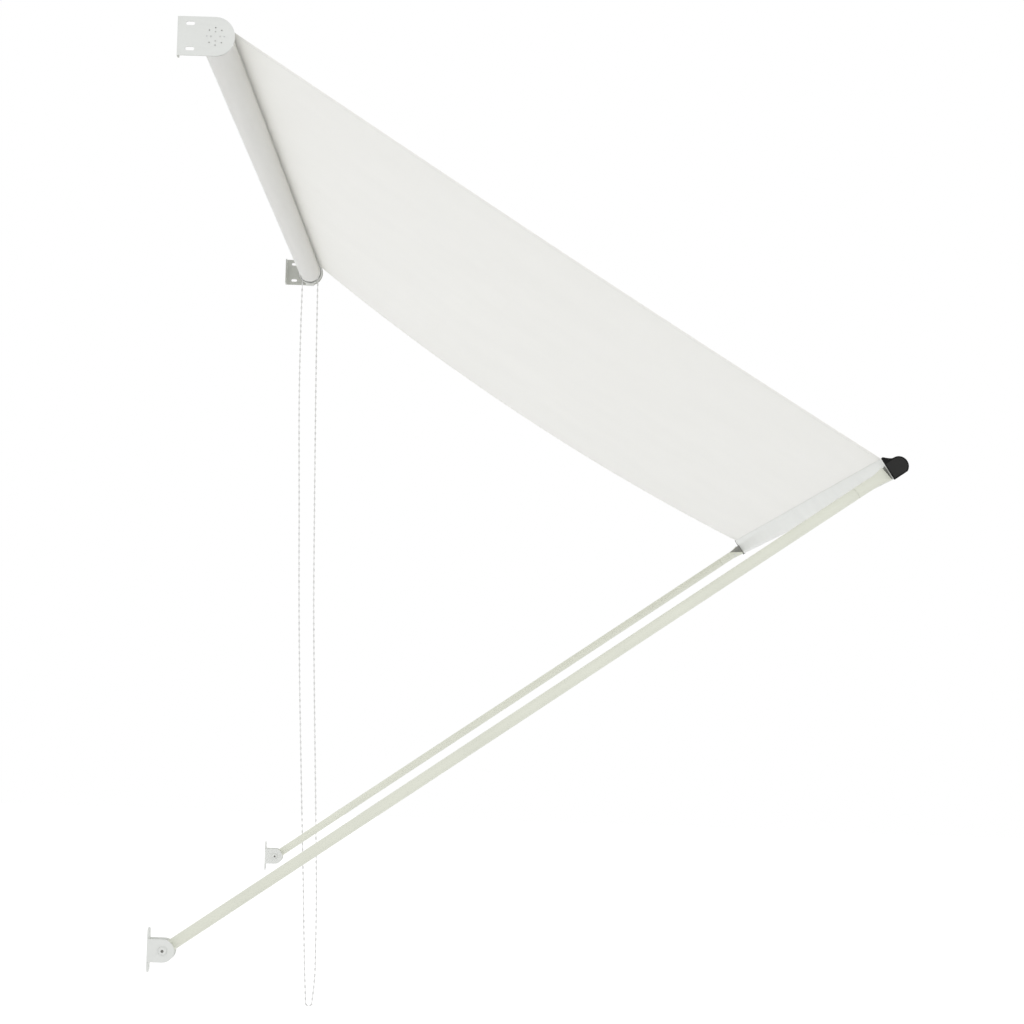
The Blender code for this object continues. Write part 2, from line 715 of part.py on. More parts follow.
def make_chain():
    """The part over the wheel, held by the drive, and the loop that hangs below it."""
    y = RIGHT.y(CHAIN_INSET)
    over = [(AXIS[0] + PITCH_RADIUS, y, -CHAIN_TAIL)]
    over += [(x, y, z) for x, z in arc(AXIS, PITCH_RADIUS, 0, 180, SMALL_STEPS)]
    over += [(AXIS[0] - PITCH_RADIUS, y, -CHAIN_TAIL)]
    finish(wire("chain_on_wheel", over, CHAIN_RADIUS), CHAIN_PLASTIC, smooth=60)
    places = CHAIN_WALL_STRAND + CHAIN_BOTTOM + CHAIN_OUTER_STRAND
    route = [Vector((x * MM, y, z * MM)) for x, z in places]
    fine = smooth_route(route, CHAIN_POINTS)
    last = len(fine) - 1
    line = [place for index, place in enumerate(fine)
            if index % CHAIN_STRIDE == 0 or index == last or place.z < CHAIN_BEND_HEIGHT * MM]
    finish(wire("bead_chain", line, CHAIN_RADIUS), CHAIN_PLASTIC, smooth=60)


# Lower brackets and their bolts

def make_lower_bracket(side, axis):
    """U bracket in the arm pivot's place; the outlines are measured from the pivot."""
    wall = -LOWER_PIVOT_FROM_WALL
    first, last = LOWER_INSET, LOWER_INSET + LOWER_WIDTH
    corner_near = (wall + OUTER_FOLD, first + OUTER_FOLD)
    corner_far = (wall + OUTER_FOLD, last - OUTER_FOLD)
    outside = [(LOWER_NOSE, first)] + arc(corner_near, OUTER_FOLD, 270, 180, 4)
    outside += arc(corner_far, OUTER_FOLD, 180, 90, 4) + [(LOWER_NOSE, last)]
    inside = [(LOWER_NOSE, last - SHEET)] + arc(corner_far, FOLD_RADIUS, 90, 180, 4)
    inside += arc(corner_near, FOLD_RADIUS, 180, 270, 4) + [(LOWER_NOSE, first + SHEET)]
    section = [(x, side.y(inset)) for x, inset in outside + inside]
    bracket = prism(f"lower_bracket_{side.name}", [section], "XY", -LOWER_NOSE, LOWER_NOSE)
    cheek = nose_outline(wall - SHEET, (0.0, 0.0), LOWER_NOSE)
    keep_inside(bracket, prism("cheek", [cheek], "XZ", side.y(first - SHEET), side.y(last + SHEET)))
    low = min(side.y(first + OUTER_FOLD), side.y(last - OUTER_FOLD))
    high = max(side.y(first + OUTER_FOLD), side.y(last - OUTER_FOLD))
    tab = rounded_box((low, -TAB_HEIGHT / 2), (high, TAB_HEIGHT / 2), TAB_CORNER)
    join(bracket, prism("tab", [tab], "YZ", wall, wall + SHEET))
    middle = side.y(ARM_INSET)
    screws = [circle((middle, height), TAB_HOLE_RADIUS) for height in (-TAB_HOLE_HEIGHT, TAB_HOLE_HEIGHT)]
    cut(bracket, prism("tab_holes", screws, "YZ", wall - SHEET, wall + 2 * SHEET))
    bore = circle((0.0, 0.0), LOWER_BOLT_RADIUS + CLEARANCE)
    cut(bracket, prism("bore", [bore], "XZ", side.y(first - SHEET), side.y(last + SHEET)))
    finish(bracket, POWDER_WHITE, axis)


def make_bolt(name, axis, low, high, radius, center=(0.0, 0.0)):
    """A bolt through the stretch from low to high, with a button head at its low end, and its nut."""
    head_radius, head_height, nut_height = radius * 1.85, radius, radius * 1.5
    head, top = low - CLEARANCE, low - CLEARANCE - head_height
    tip = high + CLEARANCE + nut_height + MM
    profile = [
        (top, 0), (top, head_radius * 0.6), (head - head_height * 0.6, head_radius * 0.88),
        (head - head_height * 0.25, head_radius), (head, head_radius), (head, radius),
        (tip - MM, radius), (tip, radius - 0.8 * MM), (tip, 0),
    ]
    bolt = turned(f"{name}_bolt", profile, "Y", center, SMALL_STEPS)
    socket = circle(center, radius * 0.72, 6)
    cut(bolt, prism("socket", [socket], "XZ", top - MM, head - head_height * 0.35))
    finish(bolt, POWDER_WHITE, axis)
    loops = [circle(center, radius * 1.85, 6), circle(center, radius + CLEARANCE, SMALL_STEPS)]
    nut = prism(f"{name}_nut", loops, "XZ", high + CLEARANCE, high + CLEARANCE + nut_height)
    finish(nut, POWDER_WHITE, axis)


def make_lower_joint(side, axis):
    middle = side.y(ARM_INSET)
    half = LOWER_WIDTH / 2
    make_bolt(f"lower_{side.name}", axis, middle - half, middle + half, LOWER_BOLT_RADIUS)
    inner = half - SHEET - CLEARANCE
    for name, direction in (("a", -1), ("b", 1)):
        low = middle + direction * (EYE_WIDTH / 2 + CLEARANCE)
        high = middle + direction * inner
        loops = [circle((0.0, 0.0), SPACER_RADIUS), circle((0.0, 0.0), LOWER_BOLT_RADIUS + CLEARANCE)]
        spacer = prism(f"lower_{side.name}_spacer_{name}", loops, "XZ", low, high)
        finish(spacer, WHITE_PLASTIC, axis)


# Arms, in the frame of their lower pivot: X along the arm

def make_arm(side, axis):
    middle = side.y(ARM_INSET)
    center = (middle, 0.0)
    shoulder = ARM_LENGTH - FORK_LENGTH
    start, end = ARM_RADIUS + FOOT_COLLAR + CLEARANCE, shoulder - CLEARANCE
    bore = ARM_RADIUS - ARM_WALL
    profile = [(start, bore), (start, ARM_RADIUS), (end, ARM_RADIUS), (end, bore)]
    finish(turned(f"arm_tube_{side.name}", profile, "X", center), ARM_CREAM, axis)
    make_foot(side, axis, middle, bore - CLEARANCE)
    make_fork(side, axis, middle, shoulder, bore - CLEARANCE)


def make_foot(side, axis, middle, stub_radius):
    """End plug with an eye for the lower bolt."""
    half = EYE_WIDTH / 2
    foot = rod(f"arm_foot_{side.name}", "Y", (0.0, 0.0), middle - half, middle + half, ARM_RADIUS, ROUND_STEPS)
    collar_end = ARM_RADIUS + FOOT_COLLAR
    profile = [
        (0, 0), (0, stub_radius), (ARM_RADIUS / 2, stub_radius), (ARM_RADIUS / 2, ARM_RADIUS),
        (collar_end, ARM_RADIUS), (collar_end, stub_radius),
        (collar_end + STUB_LENGTH, stub_radius), (collar_end + STUB_LENGTH, 0),
    ]
    join(foot, turned("stub", profile, "X", (middle, 0.0), ROUND_STEPS))
    bore = circle((0.0, 0.0), LOWER_BOLT_RADIUS + CLEARANCE)
    cut(foot, prism("bore", [bore], "XZ", middle - half - MM, middle + half + MM))
    finish(foot, WHITE_PLASTIC, axis)


def flare_ring(middle, along, below, above, slant):
    """One section of the fork: as wide as the tube, taller by its growth, and rounder near the tube."""
    share = (below + above) / (FORK_FLARE[-1][1] + FORK_FLARE[-1][2])
    corner = ARM_RADIUS - 0.2 * MM + (FORK_CORNER - ARM_RADIUS) * share
    low, high = -ARM_RADIUS - below, ARM_RADIUS + above
    ring = rounded_box((-ARM_RADIUS, low), (ARM_RADIUS, high), corner)
    return [(along - slant * share * (up - low) / (high - low), middle + across, up) for across, up in ring]


def make_fork(side, axis, middle, shoulder, stub_radius):
    """End fitting that grows from the tube's round to a tall block, slotted for the front bar's hinge."""
    pivot = Vector(FRONT_PIVOT)
    rings = [flare_ring(middle, pivot.x + along, below, above, FORK_SLANT) for along, below, above in FORK_FLARE]
    fork = lofted(f"arm_fork_{side.name}", rings)
    stub = rod("stub", "X", (middle, 0.0), shoulder - STUB_LENGTH, shoulder + 2 * MM, stub_radius, ROUND_STEPS)
    join(fork, stub)
    outer, inner = ARM_INSET - TONGUE_WIDTH / 2 - CLEARANCE, ARM_INSET + TONGUE_WIDTH / 2 + CLEARANCE
    slot = hinge_slot(pivot)
    cut(fork, prism("slot", [slot], "XZ", side.y(outer), side.y(inner)))
    far = ARM_INSET + ARM_RADIUS
    relief = [(pivot.x - 12 * MM, pivot.y + 16 * MM), (pivot.x + 20 * MM, pivot.y - 3 * MM),
              (pivot.x + 40 * MM, pivot.y - 3 * MM), (pivot.x + 40 * MM, pivot.y + 40 * MM),
              (pivot.x - 12 * MM, pivot.y + 40 * MM)]
    cut(fork, prism("relief", [relief], "XZ", side.y(inner - CLEARANCE), side.y(far + MM)))
    blind = ARM_INSET - ARM_RADIUS + PIN_COVER
    bore = circle(FRONT_PIVOT, FRONT_PIN_RADIUS + CLEARANCE)
    cut(fork, prism("bore", [bore], "XZ", side.y(blind), side.y(far + MM)))
    finish(fork, ARM_CREAM, axis)
    ends = (side.y(blind + CLEARANCE), side.y(far - CLEARANCE))
    pin = rod(f"front_{side.name}_pin", "Y", FRONT_PIVOT, ends[0], ends[1], FRONT_PIN_RADIUS)
    finish(pin, POWDER_WHITE, axis)


def hinge_slot(pivot):
    """The fork's slot: open at its top, its bottom and towards the bar."""
    back, front, tall = pivot.x - 13 * MM, pivot.x + BAR_BACK + MM, 3 * ARM_RADIUS
    return [(back, -tall), (front, -tall), (front, tall), (back, tall)]


# Front bar, in the frame of the arms' front pivots

def curve_between(start, control, end, steps):
    """Points on a soft bend that leaves the start and reaches the end towards the control point."""
    points = []
    for step in range(steps + 1):
        part = step / steps
        point = Vector(start) * (1 - part) ** 2 + Vector(control) * 2 * part * (1 - part) + Vector(end) * part ** 2
        points.append(tuple(point))
    return points


def bar_outline(grow, corner):
    """D-shaped section: round nose, level underside, upright back, and a fin that holds the fabric."""
    radius = NOSE_RADIUS + grow
    under = BAR_UNDERSIDE - grow
    first = math.degrees(math.asin((under - NOSE_CENTER.y) / radius))
    nose = arc(NOSE_CENTER, radius, first, 90, SMALL_STEPS)
    tip = FIN_RADIUS + grow
    fin_top = arc(FIN_CENTER, tip, 48, 178, 6)
    valley = curve_between(nose[-1], (NOSE_CENTER.x - 3.5 * MM, nose[-1][1]), fin_top[0], 5)[1:-1]
    back = arc((BAR_BACK - grow + corner, under + corner), corner, 180, 270, 6)
    return nose + valley + fin_top + back


def hollow_outline(shrink=0.0):
    """The bar's inside, or with a shrink the plug that fills it."""
    radius = NOSE_RADIUS - BAR_WALL - shrink
    low, high = BAR_UNDERSIDE + BAR_WALL + shrink, HOLLOW_TOP - shrink
    first = math.degrees(math.asin((low - NOSE_CENTER.y) / radius))
    last = 180 - math.degrees(math.asin((high - NOSE_CENTER.y) / radius))
    back = BAR_BACK + BAR_WALL + 0.6 * MM + shrink
    bend = BAR_CORNER - BAR_WALL - shrink
    corner = arc((back + bend, low + bend), bend, 180, 270, 6)
    return arc(NOSE_CENTER, radius, first, last, SMALL_STEPS) + [(back, high)] + corner


def face_outline():
    """The sunk face of a cap: the section without its fin, inside the rim."""
    radius = NOSE_RADIUS + CAP_PROUD - CAP_RIM
    under = BAR_UNDERSIDE - CAP_PROUD + CAP_RIM
    first = math.degrees(math.asin((under - NOSE_CENTER.y) / radius))
    nose = arc(NOSE_CENTER, radius, first, 90, SMALL_STEPS)
    back = BAR_BACK - CAP_PROUD + CAP_RIM
    return nose + [(back + MM, nose[-1][1]), (back, nose[-1][1] - MM), (back, under)]


def groove_direction():
    return (FIN_CENTER - GROOVE_CENTER).normalized()


def groove_outline():
    """Keyhole: the round seat of the hem rod and the slot that the fabric comes out of."""
    along = groove_direction()
    tilt = math.degrees(math.atan2(along.y, along.x))
    opening = math.degrees(math.asin(GROOVE_SLOT / 2 / GROOVE_RADIUS))
    seat = arc(GROOVE_CENTER, GROOVE_RADIUS, tilt + opening, tilt + 360 - opening, SMALL_STEPS)
    across = Vector((-along.y, along.x)) * GROOVE_SLOT / 2
    out = FIN_CENTER + along * 3 * FIN_RADIUS
    return seat + [tuple(out - across), tuple(out + across)]


def bar_to_world(point):
    """A point of the front bar's section, as a world place at Y = 0."""
    along, across = Vector((math.cos(LEAN), 0, math.sin(LEAN))), Vector((-math.sin(LEAN), 0, math.cos(LEAN)))
    return BAR_PIVOT + along * point[0] + across * point[1]


def groove_mouth():
    return bar_to_world(FIN_CENTER + groove_direction() * FIN_RADIUS)


def make_front_bar(axis):
    start, end = LEFT.y(BAR_INSET), RIGHT.y(BAR_INSET)
    bar = prism("front_bar", [bar_outline(0, BAR_CORNER), hollow_outline()], "XZ", start, end)
    cut(bar, prism("groove", [groove_outline()], "XZ", start - MM, end + MM))
    low, high = HINGE_LOW - 2 * CLEARANCE, HINGE_HIGH + 2 * CLEARANCE
    notch_end = BAR_BACK + 2 * BAR_WALL
    notch = [(0, low), (notch_end, low), (notch_end, high), (0, high)]
    half = TONGUE_WIDTH / 2 + 2 * CLEARANCE
    for side in SIDES:
        cut(bar, prism("notch", [notch], "XZ", side.y(ARM_INSET - half), side.y(ARM_INSET + half)))
        make_cap(side, axis)
        make_hinge(side, axis)
    finish(bar, POWDER_WHITE, axis)
    hem = rod("hem_rod", "Y", tuple(GROOVE_CENTER), LEFT.y(FABRIC_INSET), RIGHT.y(FABRIC_INSET),
              HEM_ROD_RADIUS, SMALL_STEPS)
    finish(hem, WHITE_PLASTIC, axis)


HINGE_LOW = BAR_UNDERSIDE + BAR_WALL + 0.7 * MM
HINGE_HIGH = HOLLOW_TOP - 0.8 * MM
ROOT_LOW, ROOT_HIGH = HINGE_LOW + 4 * MM, HINGE_HIGH - 4 * MM
ROOT_START = BAR_BACK + BAR_WALL + CLEARANCE


def make_cap(side, axis):
    """End piece of the bar: a block with a raised rim, and a plug in the hollow with the hinge's pocket."""
    name = f"bar_cap_{side.name}"
    outline = bar_outline(CAP_PROUD, CAP_CORNER)
    cap = prism(name, [outline], "XZ", side.y(CAP_INSET), side.y(CAP_INSET + CAP_DEPTH))
    bevel = cap.modifiers.new("edge", "BEVEL")
    bevel.width = 0.8 * MM
    bevel.segments = 2
    bevel.limit_method = "ANGLE"
    bevel.angle_limit = math.radians(60)
    cap = own_mesh(cap, name)
    cut(cap, prism("recess", [face_outline()], "XZ", side.y(CAP_INSET - MM), side.y(CAP_INSET + CAP_RECESS)))
    plug_start, plug_end = CAP_INSET + CAP_DEPTH - MM, BAR_INSET + CAP_PLUG
    join(cap, prism("plug", [hollow_outline(CLEARANCE)], "XZ", side.y(plug_start), side.y(plug_end)))
    half = TONGUE_WIDTH / 2 + CLEARANCE
    root_end = ROOT_START + HINGE_ROOT + CLEARANCE
    pocket = [(BAR_BACK, ROOT_LOW - CLEARANCE), (root_end, ROOT_LOW - CLEARANCE),
              (root_end, ROOT_HIGH + CLEARANCE), (BAR_BACK, ROOT_HIGH + CLEARANCE)]
    cut(cap, prism("pocket", [pocket], "XZ", side.y(ARM_INSET - half), side.y(ARM_INSET + half)))
    finish(cap, BLACK_PLASTIC, axis)


def make_hinge(side, axis):
    """Flat tongue from the cap's plug, through the bar's back wall, to the pin in the arm's fork."""
    nose = arc((0.0, 0.0), TONGUE_NOSE, 270, 180, TINY_STEPS // 2)
    root_end = ROOT_START + HINGE_ROOT
    outline = [(ROOT_START, HINGE_LOW)] + nose + [
        (-2 * TONGUE_NOSE, 0.75 * HINGE_HIGH), (BAR_BACK / 2, HINGE_HIGH - 2 * MM), (ROOT_START, HINGE_HIGH),
        (ROOT_START, ROOT_HIGH), (root_end, ROOT_HIGH), (root_end, ROOT_LOW), (ROOT_START, ROOT_LOW),
    ]
    half = TONGUE_WIDTH / 2
    low, high = side.y(ARM_INSET - half), side.y(ARM_INSET + half)
    hinge = prism(f"bar_hinge_{side.name}", [outline], "XZ", low, high)
    bore = circle((0.0, 0.0), FRONT_PIN_RADIUS + CLEARANCE)
    cut(hinge, prism("bore", [bore], "XZ", side.y(ARM_INSET - 2 * half), side.y(ARM_INSET + 2 * half)))
    finish(hinge, GREY_PLASTIC, axis)


# Fabric between roll and front bar

SHEET_ROWS = 30
SHEET_COLUMNS = 8
WRAP_ROWS = 3
SLOT_ROWS = 2


def sheet_section(sag):
    """Middle line of the sheet at one place across the width, from the roll to the hem rod."""
    radius = ROLL_RADIUS - FABRIC_THICKNESS / 2
    mouth = groove_mouth()
    slope = sheet_angle()
    chord = math.hypot(mouth.x - AXIS_FROM_WALL, mouth.z)
    steeper = math.degrees(math.atan(4 * sag / chord))
    points = []
    for x, z in arc(AXIS, radius, 90 - slope + FREE_WRAP, 90 - slope - steeper, WRAP_ROWS):
        points.append(Vector((x, 0, z)))
    leave = points[-1]
    heading = math.radians(slope + steeper)
    control = leave + Vector((math.cos(heading), 0, -math.sin(heading))) * (chord / 2)
    rows = SHEET_ROWS - WRAP_ROWS - SLOT_ROWS
    for step in range(1, rows + 1):
        part = step / rows
        points.append(leave * (1 - part) ** 2 + control * 2 * part * (1 - part) + mouth * part ** 2)
    stop = bar_to_world(GROOVE_CENTER + groove_direction() * (HEM_ROD_RADIUS + CLEARANCE))
    for step in range(1, SLOT_ROWS + 1):
        points.append(mouth.lerp(stop, step / SLOT_ROWS))
    return points


def make_fabric(axis):
    """The sheet hangs a little lower at its far edge than at its near edge."""
    start, end = LEFT.y(FABRIC_INSET), RIGHT.y(FABRIC_INSET)
    body = bmesh.new()
    bmesh.ops.create_grid(body, x_segments=SHEET_COLUMNS, y_segments=SHEET_ROWS, size=0.5)
    sections = {}
    for vert in body.verts:
        column = round((vert.co.x + 0.5) * SHEET_COLUMNS)
        row = round((vert.co.y + 0.5) * SHEET_ROWS)
        share = column / SHEET_COLUMNS
        if column not in sections:
            sections[column] = sheet_section(SAG_LEFT + (SAG_RIGHT - SAG_LEFT) * share ** 1.5)
        place = sections[column][row]
        vert.co = (place.x, start + (end - start) * share, place.z)
    mesh = bpy.data.meshes.new("awning_fabric")
    body.to_mesh(mesh)
    body.free()
    sheet = bpy.data.objects.new("awning_fabric", mesh)
    CUTTERS.objects.link(sheet)
    thicken = sheet.modifiers.new("thickness", "SOLIDIFY")
    thicken.thickness = FABRIC_THICKNESS
    thicken.offset = 0
    bpy.context.view_layer.update()
    sheet = own_mesh(sheet, "awning_fabric")
    sheet.data.transform(axis.matrix_basis.inverted())
    finish(sheet, CANVAS, axis, 60)


# Assembly

def build():
    roller_axis = make_axis("roller_axis", (AXIS_FROM_WALL, 0, 0))
    bar_axis = make_axis("front_bar_axis", BAR_PIVOT, ARM_ANGLE)
    pivot = Vector((LOWER_PIVOT_FROM_WALL, 0, -PIVOT_DROP))
    for side in SIDES:
        make_upper_bracket(side)
        bracket_axis = make_axis(f"lower_pivot_{side.name}", pivot)
        make_lower_bracket(side, bracket_axis)
        make_lower_joint(side, bracket_axis)
        arm_axis = make_axis(f"arm_axis_{side.name}", pivot, ARM_ANGLE)
        make_arm(side, arm_axis)
    make_idler()
    make_chain_guard()
    make_chain()
    make_roller(roller_axis)
    make_front_bar(bar_axis)
    make_fabric(bar_axis)


build()
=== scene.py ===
"""Looks of the drop-arm awning: sewn fabric, beaded chain, coated metal and moulded plastic.

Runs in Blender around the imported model. Everything is in metres in the model's own frame:
+X away from the wall, +Y along the width, +Z up.
"""

import bisect
import json
import math

import bmesh
import bpy
from mathutils import Matrix, Vector, noise

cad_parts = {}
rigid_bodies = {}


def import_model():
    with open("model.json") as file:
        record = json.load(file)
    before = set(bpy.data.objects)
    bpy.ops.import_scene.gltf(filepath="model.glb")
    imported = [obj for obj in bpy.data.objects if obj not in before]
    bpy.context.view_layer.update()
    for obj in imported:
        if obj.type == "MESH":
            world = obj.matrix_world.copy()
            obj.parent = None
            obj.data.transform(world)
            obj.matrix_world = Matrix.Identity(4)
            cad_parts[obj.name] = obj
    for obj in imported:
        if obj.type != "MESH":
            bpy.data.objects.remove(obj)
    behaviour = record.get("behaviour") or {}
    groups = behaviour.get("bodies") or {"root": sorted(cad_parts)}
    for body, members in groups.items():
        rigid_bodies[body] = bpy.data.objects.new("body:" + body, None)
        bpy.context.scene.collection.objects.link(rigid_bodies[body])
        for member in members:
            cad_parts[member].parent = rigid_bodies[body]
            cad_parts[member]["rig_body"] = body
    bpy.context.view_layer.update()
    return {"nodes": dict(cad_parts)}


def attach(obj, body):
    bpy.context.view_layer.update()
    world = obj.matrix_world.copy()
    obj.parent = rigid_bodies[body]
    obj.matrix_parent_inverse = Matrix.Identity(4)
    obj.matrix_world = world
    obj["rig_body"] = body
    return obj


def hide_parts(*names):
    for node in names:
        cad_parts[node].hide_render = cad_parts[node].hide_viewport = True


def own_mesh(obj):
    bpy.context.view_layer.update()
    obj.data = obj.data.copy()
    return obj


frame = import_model()
NODES = frame["nodes"]
MM = 0.001
WIDTH_AXIS = Vector((0, 1, 0))

# Sizes of the part that the pieces here are built on
AXIS = Vector((0.066, 0, 0))
LEFT_FACE = -0.0115
RIGHT_FACE = 2.4885
ROLL_RADIUS = 0.0284
TUBE_RADIUS = 0.025
FABRIC_THICKNESS = 0.0006
TURN_GAP = 0.0003
FABRIC_INSET = 0.027
FABRIC_START = LEFT_FACE + FABRIC_INSET
FABRIC_END = RIGHT_FACE - FABRIC_INSET
FABRIC_WIDTH = FABRIC_END - FABRIC_START
LOWER_PIVOT = Vector((0.0275, 0, -1.567))
ARM_ANGLE = math.radians(35.35)
CAP_FACE = 0.0136

# Front pivot, along and across the arm from the lower pivot
FRONT_PIVOT = Vector((1.466, -0.005))

# Places in the front bar's section, along and across the arm from the front pivot
FIN_CENTER = Vector((0.025, 0.0304))
FIN_RADIUS = 0.0018
GROOVE_CENTER = Vector((0.028, 0.0239))
HEM_STOP = 0.0025

# Lower bolts: top of the head, far side of the bracket, and the hexagon socket in the head
LOWER_HEAD_TOP = 0.0107
LOWER_FAR_SIDE = 0.068
SOCKET_INSET = 0.0003
SOCKET_DEPTH = 0.0028
SOCKET_REACH = 0.0031

# Sheet: degrees of wrap on the roll, and how the sag grows from the left edge to the right one
FREE_WRAP = 6.0
SAG_LEFT = 0.005
SAG_RIGHT = 0.037
SAG_GROWTH = 1.5

# Chain: its middle plane, and the height at which it leaves the wheel on both sides
BEAD_PITCH = 0.016
POCKET_COUNT = 8
PITCH_RADIUS = BEAD_PITCH * POCKET_COUNT / (2 * math.pi)
CHAIN_DIAMETER = 0.0045
CHAIN_INSET = 0.0094
CHAIN_Y = RIGHT_FACE - CHAIN_INSET
CHAIN_EXIT_Z = -0.0103

# The free loop's route as X and Z in millimetres, from the wall's side round to the outer side
CHAIN_WALL_STRAND = [
    (45.6, -10.3), (45.3, -48), (45, -155), (46.4, -290), (49, -397), (56.5, -612), (65.5, -880),
    (74.5, -1095), (84, -1283), (93.8, -1470), (102.5, -1631), (113, -1845), (116.5, -1903),
]
CHAIN_BOTTOM = [
    (118.9, -1940), (120.6, -1960), (122.9, -1965.7), (128.6, -1968), (134.3, -1965.7), (136.6, -1960),
    (138.6, -1940),
]
CHAIN_OUTER_STRAND = [
    (141.5, -1903), (142.5, -1852), (139.6, -1683), (131, -1469), (122.3, -1281), (113.7, -1094),
    (105, -879), (98, -611), (91.8, -342), (88.6, -181), (86.8, -48), (86.4, -10.3),
]

# Photograph's viewpoint: turns in degrees from a level look along +Y, lens and sensor in millimetres
CAMERA_PLACE = (0.5503, -4.3588, -1.0947)
CAMERA_TURNS = (1.120, 0.347, 1.952)
CAMERA_LENS = 89.69
CAMERA_SENSOR = 36
CAMERA_SHIFT = (0.0825, 0.1531)
CAMERA_REACH = 50

# Soft studio light: strength of the world, then each lamp's name, place, the point it faces,
# side length in metres and power in watts
WORLD_LIGHT = 0.9
LAMPS = [
    ("key", (0.8, -4.6, -0.2), (0.5, 1.0, -0.7), 3.0, 12),
    ("fill", (-0.9, 1.4, -1.8), (0.4, 1.2, -0.2), 2.4, 5),
]

# Floor: its glow shows to the camera and in mirrors but lights nothing, and shadows still show on it
FLOOR_HEIGHT = -2.06
FLOOR_REACH = 14
FLOOR_TONE = 0.95
FLOOR_GLOW = 0.3


# Camera, light and floor

def make_camera():
    yaw, pitch, roll = (math.radians(angle) for angle in CAMERA_TURNS)
    camera = bpy.data.objects.new("camera", bpy.data.cameras.new("camera"))
    bpy.context.scene.collection.objects.link(camera)
    camera.data.sensor_width = CAMERA_SENSOR
    camera.data.lens = CAMERA_LENS
    camera.data.shift_x, camera.data.shift_y = CAMERA_SHIFT
    camera.data.clip_end = CAMERA_REACH
    camera.matrix_world = (
        Matrix.Translation(CAMERA_PLACE) @ Matrix.Rotation(math.radians(90), 4, "X")
        @ Matrix.Rotation(yaw, 4, "Y") @ Matrix.Rotation(pitch, 4, "X") @ Matrix.Rotation(roll, 4, "Z")
    )
    bpy.context.scene.camera = camera


def make_lamp(name, place, target, size, power):
    """A square area lamp that faces a point and isn't seen itself."""
    light = bpy.data.lights.new(name, "AREA")
    light.size = size
    light.energy = power
    lamp = bpy.data.objects.new(name, light)
    lamp.visible_camera = False
    lamp.location = place
    lamp.rotation_euler = (Vector(target) - Vector(place)).to_track_quat("-Z", "Y").to_euler()
    bpy.context.scene.collection.objects.link(lamp)


def set_inputs(node, values):
    """Give a node's sockets their plain values."""
    for name, value in values.items():
        node.inputs[name].default_value = value


def math_node(nodes, links, operation, first, second):
    node = nodes.new("ShaderNodeMath")
    node.operation = operation
    for socket, value in zip(node.inputs, (first, second)):
        if isinstance(value, (int, float)):
            socket.default_value = value
        else:
            links.new(value, socket)
    return node.outputs[0]


def seen_directly(nodes, links):
    """1 for the rays of the camera, a mirror or glass, and 0 for the rays that carry light."""
    path = nodes.new("ShaderNodeLightPath").outputs
    either = math_node(nodes, links, "MAXIMUM", path["Is Camera Ray"], path["Is Glossy Ray"])
    return math_node(nodes, links, "MAXIMUM", either, path["Is Transmission Ray"])


def make_world():
    """Even light from all around, and plain white where the background itself is seen."""
    world = bpy.data.worlds.new("world")
    bpy.context.scene.world = world
    world.use_nodes = True
    nodes, links = world.node_tree.nodes, world.node_tree.links
    nodes.clear()
    mix = nodes.new("ShaderNodeMixShader")
    links.new(seen_directly(nodes, links), mix.inputs["Fac"])
    for socket, strength in ((mix.inputs[1], WORLD_LIGHT), (mix.inputs[2], 1.0)):
        background = nodes.new("ShaderNodeBackground")
        set_inputs(background, {"Color": (1, 1, 1, 1), "Strength": strength})
        links.new(background.outputs[0], socket)
    links.new(mix.outputs[0], nodes.new("ShaderNodeOutputWorld").inputs["Surface"])


def make_floor():
    """A plain white floor that keeps the awning's shadow."""
    mesh = bpy.data.meshes.new("floor")
    near, far = -FLOOR_REACH, FLOOR_REACH
    corners = [(x, y, FLOOR_HEIGHT) for x, y in ((near, near), (far, near), (far, far), (near, far))]
    mesh.from_pydata(corners, [], [(0, 1, 2, 3)])
    floor = bpy.data.objects.new("floor", mesh)
    bpy.context.scene.collection.objects.link(floor)
    material = bpy.data.materials.new("floor")
    material.use_nodes = True
    nodes, links = material.node_tree.nodes, material.node_tree.links
    shader = nodes["Principled BSDF"]
    set_inputs(shader, {
        "Base Color": (FLOOR_TONE, FLOOR_TONE, FLOOR_TONE, 1),
        "Roughness": 1.0,
        "Specular IOR Level": 0.0,
        "Emission Color": (1, 1, 1, 1),
    })
    glow = math_node(nodes, links, "MULTIPLY", seen_directly(nodes, links), FLOOR_GLOW)
    links.new(glow, shader.inputs["Emission Strength"])
    mesh.materials.append(material)


make_camera()
make_world()
make_floor()
for lamp_values in LAMPS:
    make_lamp(*lamp_values)
bpy.context.scene.view_settings.view_transform = "Standard"


# Materials

# Scale of the wave texture at which a thread of the weave is 0.75 mm wide
WEAVE_SCALE = 420


def tint(color, factor):
    return tuple(min(1.0, channel * factor) for channel in color)


